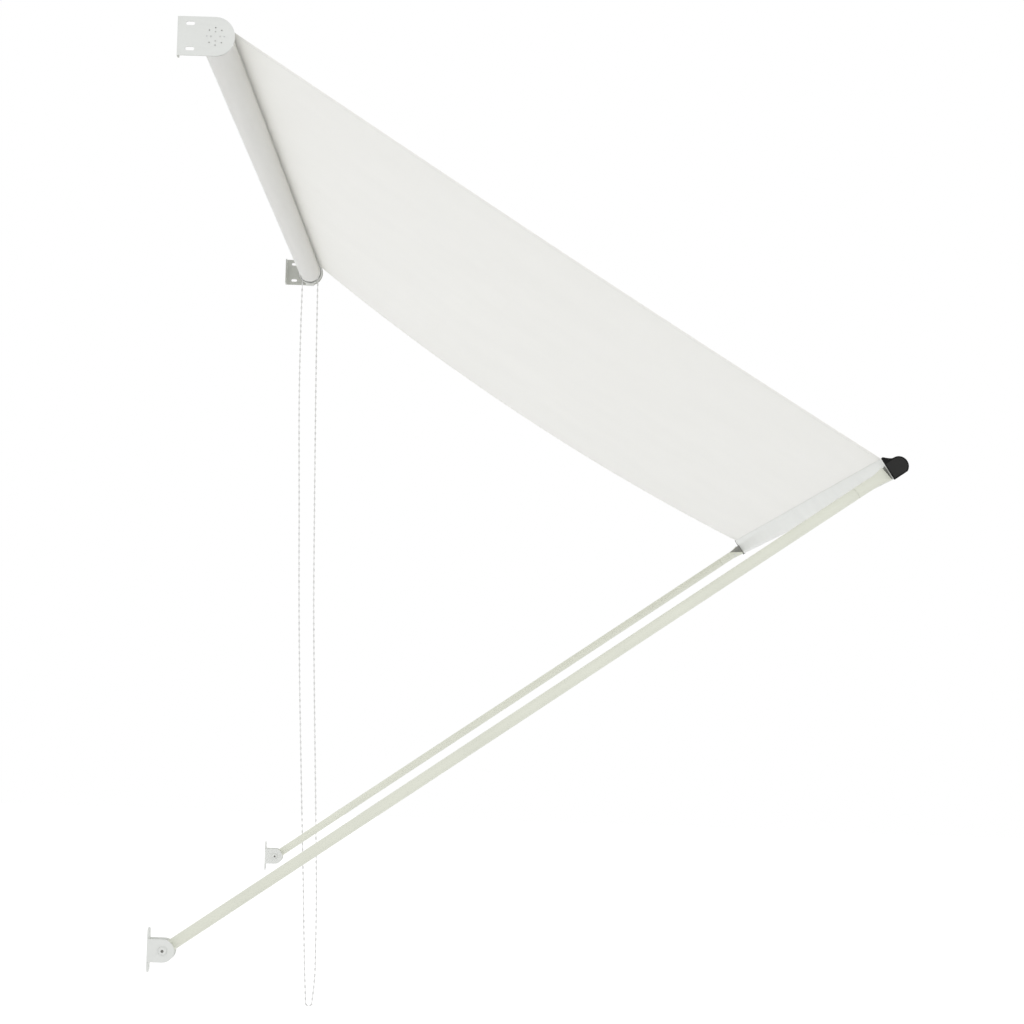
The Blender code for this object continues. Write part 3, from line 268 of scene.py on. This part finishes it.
class Surface:
    """A Principled material with a few helpers for its node network."""

    def __init__(self, name, color, roughness, metallic=0.0):
        self.color = color
        self.material = bpy.data.materials.new(name)
        self.material.use_nodes = True
        self.nodes = self.material.node_tree.nodes
        self.links = self.material.node_tree.links
        self.shader = self.nodes["Principled BSDF"]
        self.set({"Base Color": (*color, 1), "Roughness": roughness, "Metallic": metallic})
        self.place = self.nodes.new("ShaderNodeTexCoord").outputs["Object"]

    def set(self, values):
        set_inputs(self.shader, values)

    def noise(self, scale, detail=3, source=None):
        texture = self.nodes.new("ShaderNodeTexNoise")
        set_inputs(texture, {"Scale": scale, "Detail": detail})
        self.links.new(source or self.place, texture.inputs["Vector"])
        return texture.outputs["Fac"]

    def stretch(self, scale, source=None):
        mapping = self.nodes.new("ShaderNodeMapping")
        set_inputs(mapping, {"Scale": scale})
        self.links.new(source or self.place, mapping.inputs["Vector"])
        return mapping.outputs["Vector"]

    def math(self, operation, first, second):
        return math_node(self.nodes, self.links, operation, first, second)

    def blend(self, first, first_share, second, second_share):
        """Two factors added, each by its share."""
        parts = [self.math("MULTIPLY", first, first_share), self.math("MULTIPLY", second, second_share)]
        return self.math("ADD", *parts)

    def mottle(self, source, darker, lighter, low=0.3, high=0.7):
        """Paint with the base colour, between a darker and a lighter tone of it."""
        node = self.nodes.new("ShaderNodeValToRGB")
        for element, position, factor in zip(node.color_ramp.elements, (low, high), (darker, lighter)):
            element.position = position
            element.color = (*tint(self.color, factor), 1)
        self.links.new(source, node.inputs["Fac"])
        self.links.new(node.outputs["Color"], self.shader.inputs["Base Color"])

    def roughen(self, source, low, high):
        """Let the roughness vary between two values."""
        node = self.nodes.new("ShaderNodeMapRange")
        set_inputs(node, {"To Min": low, "To Max": high})
        self.links.new(source, node.inputs["Value"])
        self.links.new(node.outputs["Result"], self.shader.inputs["Roughness"])

    def bump(self, height, distance, strength):
        node = self.nodes.new("ShaderNodeBump")
        set_inputs(node, {"Distance": distance, "Strength": strength})
        self.links.new(height, node.inputs["Height"])
        self.links.new(node.outputs["Normal"], self.shader.inputs["Normal"])


def make_coat(name, color, roughness):
    """Powder coat: orange peel, a little dust in the tone, and patches of sheen."""
    coat = Surface(name, color, roughness)
    coat.mottle(coat.noise(scale=9, detail=4), darker=0.97, lighter=1.02)
    coat.roughen(coat.noise(scale=60), low=roughness - 0.06, high=roughness + 0.08)
    coat.bump(coat.noise(scale=900, detail=2), distance=0.00006, strength=0.5)
    coat.set({"Coat Weight": 0.12, "Coat Roughness": 0.3})
    return coat.material


def make_plastic(name, color, roughness, shine=0.5):
    """Moulded plastic: fine spark-eroded grain."""
    plastic = Surface(name, color, roughness)
    plastic.mottle(plastic.noise(scale=35), darker=0.93, lighter=1.05)
    plastic.roughen(plastic.noise(scale=180), low=roughness - 0.05, high=roughness + 0.1)
    plastic.bump(plastic.noise(scale=2600, detail=2), distance=0.00003, strength=0.6)
    plastic.set({"Specular IOR Level": shine})
    return plastic.material


def make_metal(name, color, roughness, stretch):
    """Bare metal with drawing or turning marks along one direction."""
    metal = Surface(name, color, roughness, metallic=1.0)
    marks = metal.noise(scale=400, detail=4, source=metal.stretch(stretch))
    metal.mottle(metal.noise(scale=25), darker=0.9, lighter=1.05)
    metal.roughen(marks, low=roughness - 0.08, high=roughness + 0.15)
    metal.bump(marks, distance=0.00002, strength=0.5)
    return metal.material


def make_canvas(name, color):
    """Plain weave in the cloth's own coordinates, in metres across and along. Some light passes through."""
    cloth = Surface(name, color, 0.85)
    uv = cloth.nodes.new("ShaderNodeUVMap")
    uv.uv_map = "cloth"
    flat = uv.outputs["UV"]
    waves = []
    for direction in ("X", "Y"):
        wave = cloth.nodes.new("ShaderNodeTexWave")
        wave.bands_direction = direction
        set_inputs(wave, {"Scale": WEAVE_SCALE, "Distortion": 0.6, "Detail": 1.0})
        cloth.links.new(flat, wave.inputs["Vector"])
        waves.append(wave.outputs["Fac"])
    weave = cloth.math("MULTIPLY", *waves)
    slubs = cloth.noise(scale=1, source=cloth.stretch((14, 900, 1), flat))
    clouds = cloth.noise(scale=5, detail=4, source=flat)
    tone = cloth.blend(cloth.blend(slubs, 0.35, clouds, 0.65), 0.75, weave, 0.25)
    cloth.mottle(tone, darker=0.955, lighter=1.02, low=0.2, high=0.75)
    cloth.roughen(weave, low=0.78, high=0.92)
    height = cloth.math("ADD", weave, cloth.math("MULTIPLY", slubs, 0.5))
    cloth.bump(height, distance=0.00012, strength=0.7)
    cloth.set({
        "Sheen Weight": 0.15,
        "Sheen Roughness": 0.5,
        "Specular IOR Level": 0.25,
        "Subsurface Weight": 0.8,
        "Subsurface Radius": (1, 1, 1),
        "Subsurface Scale": 0.0025,
    })
    return cloth.material


WHITE_COAT = make_coat("white_coat", (0.775, 0.79, 0.765), 0.42)
CREAM_COAT = make_coat("cream_coat", (0.765, 0.78, 0.68), 0.4)
CANVAS = make_canvas("canvas", (0.86, 0.855, 0.8))
THREAD = make_plastic("thread", (0.7, 0.7, 0.67), 0.7)
BLACK = make_plastic("black_plastic", (0.004, 0.004, 0.004), 0.5, shine=0.15)
# Lighter copy of the cap's black: painted light on the cap's flat face
LIT_CAP_FACE = make_plastic("painted_light_cap_face", (0.016, 0.016, 0.015), 0.55, shine=0.25)
# Grey plastic of the hinge, also used as painted shade in the lower bolts' sockets
GREY_AND_SOCKET_SHADE = make_plastic("grey_plastic", (0.3, 0.3, 0.28), 0.5)
# Darker copy of the white coat: painted shade on the bracket faces that lie in shade
PAINTED_SHADE_COAT = make_coat("painted_shade_coat", (0.5, 0.51, 0.47), 0.5)
WHITE = make_plastic("white_plastic", (0.76, 0.77, 0.74), 0.45)
BEADS = make_plastic("bead_plastic", (0.75, 0.75, 0.75), 0.3)
CORD = make_plastic("bead_cord", (0.78, 0.78, 0.77), 0.6)
ZINC = make_metal("zinc", (0.6, 0.61, 0.62), 0.34, stretch=(1, 1, 12))
ALUMINIUM = make_metal("aluminium", (0.72, 0.73, 0.74), 0.36, stretch=(1, 0.02, 1))

# Material of each slot whose nodes keep their own shape
FINISHES = {
    "powder_white": WHITE_COAT,
    "arm_cream": CREAM_COAT,
    "black_plastic": BLACK,
    "grey_plastic": GREY_AND_SOCKET_SHADE,
    "white_plastic": WHITE,
    "bare_aluminium": ALUMINIUM,
    "zinc_steel": ZINC,
}


# Shared steps of modelling

def add_piece(name, mesh, body, material, nodes=(), smooth=35):
    """Make a mesh a piece of the model. Edges bent by more than smooth, in degrees, stay sharp."""
    piece = bpy.data.objects.new(name, mesh)
    bpy.context.scene.collection.objects.link(piece)
    mesh.materials.clear()
    mesh.materials.append(material)
    mesh.shade_smooth()
    mesh.set_sharp_from_angle(angle=math.radians(smooth))
    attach(piece, body)
    if nodes:
        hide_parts(*nodes)
    return piece


def finished_mesh(name, body):
    """What was built in the body, as a mesh whose faces point out."""
    bmesh.ops.recalc_face_normals(body, faces=body.faces)
    mesh = bpy.data.meshes.new(name)
    body.to_mesh(mesh)
    body.free()
    return mesh


def add_ring(body, center, first_axis, second_axis, radius, sides):
    """A ring of vertices in the plane of two axes."""
    ring = []
    for side in range(sides):
        turn = 2 * math.pi * side / sides
        outward = first_axis * math.cos(turn) + second_axis * math.sin(turn)
        ring.append(body.verts.new(center + outward * radius))
    return ring


def join_rings(body, rings):
    """Faces from ring to ring, and one face over each end."""
    sides = len(rings[0])
    for first, second in zip(rings, rings[1:]):
        for side in range(sides):
            following = (side + 1) % sides
            body.faces.new((first[side], first[following], second[following], second[side]))
    body.faces.new(rings[0][::-1])
    body.faces.new(rings[-1])


def outwards(angle):
    """Unit vector in the plane of X and Z, turned from +X towards +Z."""
    return Vector((math.cos(angle), 0, math.sin(angle)))


def line_lengths(line):
    """Length along the line up to each of its points."""
    lengths = [0.0]
    for first, second in zip(line, line[1:]):
        lengths.append(lengths[-1] + (second - first).length)
    return lengths


def locate(lengths, wanted):
    """The stretch of a line where a length along it is reached, and how far into the stretch."""
    spot = min(bisect.bisect_left(lengths, wanted, 1), len(lengths) - 1) - 1
    share = (wanted - lengths[spot]) / (lengths[spot + 1] - lengths[spot])
    return spot, min(share, 1.0)


# Nodes that keep their own shape

MERGE_DISTANCE = 2e-6
FLAT_ANGLE = math.radians(0.6)
EDGE_ANGLE = math.radians(40)
EDGE_SEGMENTS = 2

# A face looks one way when its normal's share of that way is above FACING, and it lies in a plane
# when its centre is within FACE_REACH of it
FACING = 0.9
FACE_REACH = 0.0001


def soften(node, slot, width):
    """The node's own shape with rounded edges, or with its plain ones where the width is 0."""
    body = bmesh.new()
    body.from_mesh(NODES[node].data)
    bmesh.ops.remove_doubles(body, verts=body.verts, dist=MERGE_DISTANCE)
    bmesh.ops.dissolve_limit(
        body, angle_limit=FLAT_ANGLE, verts=body.verts, edges=body.edges, use_dissolve_boundaries=False)
    mesh = finished_mesh(node + "_soft", body)
    if "custom_normal" in mesh.attributes:
        mesh.attributes.remove(mesh.attributes["custom_normal"])
    temporary = bpy.data.objects.new("temporary", mesh)
    bpy.context.scene.collection.objects.link(temporary)
    if width:
        bevel = temporary.modifiers.new("edges", "BEVEL")
        bevel.width = width
        bevel.segments = EDGE_SEGMENTS
        bevel.limit_method = "ANGLE"
        bevel.angle_limit = EDGE_ANGLE
    bpy.context.view_layer.update()
    done = bpy.data.meshes.new_from_object(temporary.evaluated_get(bpy.context.evaluated_depsgraph_get()))
    bpy.data.objects.remove(temporary, do_unlink=True)
    return add_piece(node + "_soft", done, NODES[node]["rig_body"], FINISHES[slot], [node])


def second_material(piece, material, chosen):
    """Give the faces that the rule chooses, by centre and normal, a material of their own."""
    piece.data.materials.append(material)
    for face in piece.data.polygons:
        if chosen(face.center, face.normal):
            face.material_index = 1


def dress_side(side):
    """The pieces that come once at each end of the width."""
    at_left = side == "left"
    inwards = 1 if at_left else -1
    cap_face = (LEFT_FACE + CAP_FACE) if at_left else (RIGHT_FACE - CAP_FACE)
    socket_start = (LEFT_FACE if at_left else RIGHT_FACE - LOWER_FAR_SIDE) + LOWER_HEAD_TOP + SOCKET_INSET

    def in_bracket_shade(center, normal):
        """The bracket's inner side, the front of its flange and what looks down: faces given a darker coat
        as painted shade.
        """
        return max(normal.y * inwards, normal.x, -normal.z) > FACING

    def on_cap_face(center, normal):
        """The flat face inside the cap's raised rim, given a lighter black than the rim as painted light.
        """
        return abs(center.y - cap_face) < FACE_REACH

    def shaded_socket(center, normal):
        """The walls and the floor of the hexagon socket in the bolt's head, coloured grey as painted shade.
        """
        from_axis = math.hypot(center.x - LOWER_PIVOT.x, center.z - LOWER_PIVOT.z)
        return from_axis < SOCKET_REACH and socket_start < center.y < socket_start + SOCKET_DEPTH

    bracket = soften(f"upper_bracket_{side}", "powder_white", 0.0005)
    # Painted shade: the bracket's inner side, flange front and downward faces get a darker coat
    second_material(bracket, PAINTED_SHADE_COAT, in_bracket_shade)
    soften(f"lower_bracket_{side}", "powder_white", 0.0005)
    soften(f"arm_tube_{side}", "arm_cream", 0.0003)
    soften(f"arm_foot_{side}", "white_plastic", 0.0006)
    soften(f"arm_fork_{side}", "arm_cream", 0.0008)
    cap = soften(f"bar_cap_{side}", "black_plastic", 0.0003)
    # Painted light: the cap's flat face is a lighter black than its shaded rim
    second_material(cap, LIT_CAP_FACE, on_cap_face)
    soften(f"bar_hinge_{side}", "grey_plastic", 0.0004)
    soften(f"front_{side}_pin", "powder_white", 0.0004)
    bolt = soften(f"lower_{side}_bolt", "powder_white", 0.0002)
    # Painted shade: the socket in the white bolt head is coloured grey
    second_material(bolt, GREY_AND_SOCKET_SHADE, shaded_socket)
    soften(f"lower_{side}_nut", "powder_white", 0.0005)
    for letter in ("a", "b"):
        soften(f"lower_{side}_spacer_{letter}", "white_plastic", 0.0003)


for side in ("left", "right"):
    dress_side(side)
for number in (1, 2):
    soften(f"idler_screw_{number}", "zinc_steel", 0)
    soften(f"drive_screw_{number}", "zinc_steel", 0)
soften("front_bar", "powder_white", 0.0003)
soften("idler_plate", "white_plastic", 0.0004)
soften("roller_plug", "black_plastic", 0.0004)
soften("roller_tube", "bare_aluminium", 0.0002)
soften("chain_guard", "white_plastic", 0.0005)
soften("chain_wheel", "white_plastic", 0.0003)
soften("hem_rod", "white_plastic", 0.0003)


# Course of the sheet, from the roll to the front bar

def bar_point(point):
    """A point of the front bar's section, as a place at Y = 0."""
    along = outwards(ARM_ANGLE)
    across = Vector((-along.z, 0, along.x))
    return LOWER_PIVOT + along * (FRONT_PIVOT.x + point.x) + across * (FRONT_PIVOT.y + point.y)


GROOVE_DIRECTION = (FIN_CENTER - GROOVE_CENTER).normalized()
MOUTH = bar_point(FIN_CENTER + GROOVE_DIRECTION * FIN_RADIUS)
GROOVE_STOP = bar_point(GROOVE_CENTER + GROOVE_DIRECTION * HEM_STOP)
CHORD = math.hypot(MOUTH.x - AXIS.x, MOUTH.z)
SHEET_RADIUS = ROLL_RADIUS - FABRIC_THICKNESS / 2

# Slope in degrees of a straight line from the bar's mouth to where it touches the roll
SLOPE = math.degrees(math.atan2(-MOUTH.z, MOUTH.x - AXIS.x) + math.asin(SHEET_RADIUS / CHORD))

# Rows of the sheet on the roll, on its free way and in the bar's groove
WRAP_ROWS = 8
SPAN_ROWS = 84
SLOT_ROWS = 3

# Unevenness of the hung cloth: its height, and each noise's rate across, rate along and seed
RIPPLE = 0.0012
SWELL = (1.7, 2.1, 3.1)
FINE = (5.3, 3.7, 8.4)
FINE_SHARE = 0.35


def sheet_section(sag):
    """Middle line of the sheet at one place across the width, from the roll to the hem rod."""
    steeper = math.degrees(math.atan(4 * sag / CHORD))
    start, stop = 90 - SLOPE + FREE_WRAP, 90 - SLOPE - steeper
    points = []
    for step in range(WRAP_ROWS + 1):
        angle = math.radians(start + (stop - start) * step / WRAP_ROWS)
        points.append(AXIS + outwards(angle) * SHEET_RADIUS)
    leave = points[-1]
    control = leave + outwards(-math.radians(SLOPE + steeper)) * (CHORD / 2)
    for step in range(1, SPAN_ROWS + 1):
        part = step / SPAN_ROWS
        points.append(leave * (1 - part) ** 2 + control * 2 * part * (1 - part) + MOUTH * part ** 2)
    for step in range(1, SLOT_ROWS + 1):
        points.append(MOUTH.lerp(GROOVE_STOP, step / SLOT_ROWS))
    return points


def cloth_noise(across, along, rates):
    across_rate, along_rate, seed = rates
    return noise.noise(Vector((across * across_rate, along * along_rate, seed)))


def ripple(y, along):
    """Soft unevenness of the hung cloth, none of it at the roll or the bar."""
    free = math.sin(math.pi * min(1.0, max(0.0, along)))
    return RIPPLE * free * (cloth_noise(y, along, SWELL) + FINE_SHARE * cloth_noise(y, along, FINE))


def sheet_line(y):
    """The sheet's middle line at one Y, with its normals pointing up."""
    share = (y - FABRIC_START) / FABRIC_WIDTH
    line = sheet_section(SAG_LEFT + (SAG_RIGHT - SAG_LEFT) * share ** SAG_GROWTH)
    normals = []
    for index in range(len(line)):
        ahead = line[min(index + 1, len(line) - 1)] - line[max(index - 1, 0)]
        normals.append(Vector((-ahead.z, 0, ahead.x)).normalized())
    moved = []
    for index, (point, normal) in enumerate(zip(line, normals)):
        along = (index - WRAP_ROWS) / SPAN_ROWS
        moved.append(point + normal * ripple(y, along) + Vector((0, y, 0)))
    return moved, normals


# Fabric

# Side hems: their width, the layers folded under the sheet, and the short step at their inner edge
HEM_WIDTH = 0.022
HEM_LAYERS = 0.0004
HEM_STEP = 0.0016

# Side edges of the sheet: how far they are rounded off, and the share of the thickness left at the rim
EDGE_ROUNDING = 0.0012
RIM_SHARE = 0.15

# Columns of vertices across the width: insets near each edge, and even steps between the margins
SHEET_EDGE = [
    0, 0.0006, 0.0016, 0.006, 0.011, 0.016, 0.0205,
    HEM_WIDTH - HEM_STEP / 2, HEM_WIDTH, HEM_WIDTH + HEM_STEP / 2, 0.0245,
]
SHEET_STEPS = 58
ROLL_EDGE = [0, 0.0007, 0.002, 0.02, HEM_WIDTH]
ROLL_STEPS = 20
EDGE_MARGIN = 0.03

# Roll: steps in one turn, degrees between its outer end and the sheet, the share of the cloth's
# thickness that a turn has, less at the rims, and how uneven the turns lie
TURN_STEPS = 72
ROLL_END_GAP = 0.7
TURN_SHARE = 0.9
TURN_RIM_SHARE = 0.6
TURN_UNEVENNESS = 0.00006
TURN_RATES = (9, 1.3)

# Lockstitch: distance of a row from the hem's inner edge, and the thread
SEAM_INSET = 0.003
STITCH_LENGTH = 0.0032
STITCH_PITCH = 0.0045
THREAD_RADIUS = 0.0003
THREAD_SIDES = 6

# Rings of one stitch: share of its length, share of the thread's radius, and lift in radii
STITCH_RINGS = ((0.0, 0.35, -0.6), (0.2, 1.0, 0.2), (0.5, 1.0, 0.5), (0.8, 1.0, 0.2), (1.0, 0.35, -0.6))


class Cloth:
    """A skin being built, whose vertices keep their place in the flat cloth."""

    def __init__(self):
        self.body = bmesh.new()
        self.uv = self.body.loops.layers.uv.new("cloth")
        self.flat = {}

    def vert(self, place, across, along):
        made = self.body.verts.new(place)
        self.flat[made] = (across, along)
        return made

    def face(self, *corners):
        made = self.body.faces.new(corners)
        for loop in made.loops:
            loop[self.uv].uv = self.flat[loop.vert]

    def close(self, grid):
        """Faces over columns of paired vertices: both skins, both ends and both side edges."""
        last = len(grid[0]) - 1
        for a, b in zip(grid, grid[1:]):
            for row in range(last):
                self.face(a[row][0], a[row + 1][0], b[row + 1][0], b[row][0])
                self.face(a[row][1], b[row][1], b[row + 1][1], a[row + 1][1])
            for row in (0, last):
                self.face(a[row][0], b[row][0], b[row][1], a[row][1])
        for column in (grid[0], grid[-1]):
            for row in range(last):
                self.face(column[row][0], column[row][1], column[row + 1][1], column[row + 1][0])


def columns_across(edge, steps):
    """Insets across the width, closer together at the side hems."""
    middle = [EDGE_MARGIN + (FABRIC_WIDTH - 2 * EDGE_MARGIN) * step / steps for step in range(steps + 1)]
    return edge + middle + [FABRIC_WIDTH - inset for inset in reversed(edge)]


def hem_share(inset):
    """1 inside a side hem, 0 on the single layer, with a short step between them."""
    return min(1.0, max(0.0, (HEM_WIDTH + HEM_STEP / 2 - inset) / HEM_STEP))


def rim_share(inset):
    """Share of the thickness close to a side edge."""
    left_over = 1 - min(1.0, inset / EDGE_ROUNDING)
    return RIM_SHARE + (1 - RIM_SHARE) * math.sqrt(1 - left_over ** 2)


def make_sheet():
    """Closed cloth with double side hems, as one skin above and one below."""
    cloth = Cloth()
    grid = []
    for inset in columns_across(SHEET_EDGE, SHEET_STEPS):
        y = FABRIC_START + inset
        edge = min(inset, FABRIC_WIDTH - inset)
        line, normals = sheet_line(y)
        lengths = line_lengths(line)
        thick = FABRIC_THICKNESS / 2 * rim_share(edge)
        hem = HEM_LAYERS * hem_share(edge) * rim_share(edge)
        column = []
        for index, (point, normal) in enumerate(zip(line, normals)):
            free = WRAP_ROWS < index < len(line) - 1 - SLOT_ROWS
            under = thick + (hem if free else 0)
            above = cloth.vert(point + normal * thick, y, lengths[index])
            below = cloth.vert(point - normal * under, y, lengths[index])
            column.append((above, below))
        grid.append(column)
    cloth.close(grid)
    mesh = finished_mesh("canvas_sheet", cloth.body)
    return add_piece("canvas_sheet", mesh, "front_bar", CANVAS, ["awning_fabric"], smooth=60)


def add_stitch(body, start, end, up):
    """One stitch with pointed ends that dip into the cloth."""
    along = (end - start).normalized()
    across = along.cross(up).normalized()
    rings = []
    for part, share, lift in STITCH_RINGS:
        center = start.lerp(end, part) + up * THREAD_RADIUS * lift
        rings.append(add_ring(body, center, across, up, THREAD_RADIUS * share, THREAD_SIDES))
    join_rings(body, rings)


def make_stitches(name, inset, above):
    """One row of lockstitch along a side hem, on the upper or lower face."""
    body = bmesh.new()
    line, normals = sheet_line(FABRIC_START + inset)
    lengths = line_lengths(line)
    edge = min(inset, FABRIC_WIDTH - inset)
    lift = FABRIC_THICKNESS / 2 if above else -FABRIC_THICKNESS / 2 - HEM_LAYERS * hem_share(edge)
    place = lengths[WRAP_ROWS + 2]
    last = lengths[len(line) - SLOT_ROWS - 2]
    while place < last - STITCH_PITCH:
        ends = []
        for wanted in (place, place + STITCH_LENGTH):
            spot, part = locate(lengths, wanted)
            normal = normals[spot].lerp(normals[spot + 1], part).normalized()
            ends.append((line[spot].lerp(line[spot + 1], part) + normal * lift, normal))
        (start, normal), (end, _) = ends
        add_stitch(body, start, end, normal if above else -normal)
        place += STITCH_PITCH
    mesh = finished_mesh(name, body)
    return add_piece(name, mesh, "front_bar", THREAD, (), smooth=60)


def make_roll():
    """The turns on the tube, as one strip wound outwards, with a vertex row at each side hem."""
    pitch = FABRIC_THICKNESS + TURN_GAP
    last = 90 - SLOPE + FREE_WRAP + ROLL_END_GAP
    turns = (ROLL_RADIUS - pitch - TUBE_RADIUS) / pitch
    steps = round(turns * TURN_STEPS)
    cloth = Cloth()
    grid = []
    for inset in columns_across(ROLL_EDGE, ROLL_STEPS):
        y = FABRIC_START + inset
        at_rim = inset in (0, FABRIC_WIDTH)
        thick = FABRIC_THICKNESS * (TURN_RIM_SHARE if at_rim else TURN_SHARE)
        column = []
        run = 0.0
        for step in range(steps + 1):
            back = turns * (1 - step / steps)
            angle = math.radians(last + 360 * back)
            middle = ROLL_RADIUS - pitch * back - FABRIC_THICKNESS / 2
            uneven = TURN_UNEVENNESS * cloth_noise(y, angle, (*TURN_RATES, back))
            run += 2 * math.pi * turns / steps * middle
            pair = []
            for radius in (middle + thick / 2 + uneven, middle - thick / 2 + uneven):
                place = AXIS + Vector((math.cos(angle) * radius, y, math.sin(angle) * radius))
                pair.append(cloth.vert(place, y, run))
            column.append(pair)
        grid.append(column)
    cloth.close(grid)
    mesh = finished_mesh("canvas_roll", cloth.body)
    add_piece("canvas_roll", mesh, "roller", CANVAS, ["fabric_roll"], smooth=50)


def fold_away(pieces):
    """Give the sheet and its seams meshes of their own."""
    for piece in pieces:
        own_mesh(piece)


sheet = make_sheet()
seam = HEM_WIDTH - SEAM_INSET
stitches = []
for label, inset in (("left", seam), ("right", FABRIC_WIDTH - seam)):
    for face_name, above in (("top", True), ("under", False)):
        stitches.append(make_stitches(f"hem_stitches_{label}_{face_name}", inset, above))
fold_away([sheet, *stitches])
make_roll()


# Bead chain

BEAD_HALF_LENGTH = 0.0046
BEAD_SEGMENTS = 12
BEAD_RINGS = 9
CORD_RADIUS = 0.0009
CORD_SIDES = 6

# A bead is fuller than a ball by this power, and its ends are cut at this share of the way to the poles
BEAD_FULLNESS = 0.6
BEAD_CUT = 0.9

# Steps of the curve between two places of the route, points of the free loop and steps over the wheel
ROUTE_STEPS = 40
LOOP_POINTS = 640
WHEEL_STEPS = 48

# How far the cord over the wheel goes down on both sides
WHEEL_TAIL = 0.01


def smooth_route(places, count):
    """Evenly spaced points on a smooth curve through the route's places."""
    def between(before, first, second, after, part):
        squared, cubed = part * part, part * part * part
        return 0.5 * (2 * first + (second - before) * part
                      + (2 * before - 5 * first + 4 * second - after) * squared
                      + (3 * first - before - 3 * second + after) * cubed)

    padded = [2 * places[0] - places[1]] + places + [2 * places[-1] - places[-2]]
    fine = []
    for index in range(len(places) - 1):
        for step in range(ROUTE_STEPS):
            fine.append(between(*padded[index:index + 4], step / ROUTE_STEPS))
    fine.append(places[-1])
    lengths = line_lengths(fine)
    points = []
    for index in range(count):
        spot, part = locate(lengths, lengths[-1] * index / (count - 1))
        points.append(fine[spot].lerp(fine[spot + 1], part))
    return points


def add_bead(body, center, along):
    """A barrel-shaped bead on the cord."""
    side = along.cross(WIDTH_AXIS).normalized()
    other = along.cross(side).normalized()
    rings = []
    for ring in range(BEAD_RINGS):
        angle = math.pi * (ring / (BEAD_RINGS - 1) - 0.5) * BEAD_CUT
        radius = CHAIN_DIAMETER / 2 * math.cos(angle) ** BEAD_FULLNESS
        middle = center + along * BEAD_HALF_LENGTH * math.sin(angle)
        rings.append(add_ring(body, middle, side, other, radius, BEAD_SEGMENTS))
    join_rings(body, rings)


def add_cord(body, points):
    """The thin cord through the beads."""
    rings = []
    for index, point in enumerate(points):
        ahead = points[min(index + 1, len(points) - 1)] - points[max(index - 1, 0)]
        side = ahead.normalized().cross(WIDTH_AXIS).normalized()
        rings.append(add_ring(body, point, side, WIDTH_AXIS, CORD_RADIUS, CORD_SIDES))
    join_rings(body, rings)


def make_chain(name, line, beads, node):
    """A cord along the line with its beads, each given by its centre and direction."""
    body = bmesh.new()
    add_cord(body, line)
    cord_faces = len(body.faces)
    for center, along in beads:
        add_bead(body, center, along)
    mesh = finished_mesh(name, body)
    piece = add_piece(name, mesh, "wall_frame", CORD, [node], smooth=60)
    mesh.materials.append(BEADS)
    mesh.polygons.foreach_set("material_index", [int(face.index >= cord_faces) for face in mesh.polygons])
    return piece


def make_loop():
    """The free loop below the wheel. Its beads carry on the wheel's pitch on both strands."""
    places = CHAIN_WALL_STRAND + CHAIN_BOTTOM + CHAIN_OUTER_STRAND
    line = smooth_route([Vector((x * MM, CHAIN_Y, z * MM)) for x, z in places], LOOP_POINTS)
    lengths = line_lengths(line)
    total = lengths[-1] - 2 * CHAIN_EXIT_Z
    count = round(total / BEAD_PITCH)
    beads = []
    for index in range(1, count):
        wanted = total * index / count + CHAIN_EXIT_Z
        if BEAD_HALF_LENGTH < wanted < lengths[-1] - BEAD_HALF_LENGTH:
            spot, part = locate(lengths, wanted)
            start, end = line[spot], line[spot + 1]
            beads.append((start.lerp(end, part), (end - start).normalized()))
    loop = make_chain("bead_loop", line, beads, "bead_chain")


def make_wheel_beads():
    """The part of the chain that lies over the wheel, with a bead in each of its upper pockets."""
    center = Vector((AXIS.x, CHAIN_Y, 0))
    line = [center + Vector((PITCH_RADIUS, 0, -WHEEL_TAIL))]
    for step in range(WHEEL_STEPS + 1):
        line.append(center + outwards(math.pi * step / WHEEL_STEPS) * PITCH_RADIUS)
    line.append(center + Vector((-PITCH_RADIUS, 0, -WHEEL_TAIL)))
    beads = []
    upper_steps = POCKET_COUNT // 2
    for step in range(upper_steps + 1):
        outward = outwards(math.pi * step / upper_steps)
        beads.append((center + outward * PITCH_RADIUS, Vector((-outward.z, 0, outward.x))))
    make_chain("beads_on_wheel", line, beads, "chain_on_wheel")


make_loop()
make_wheel_beads()
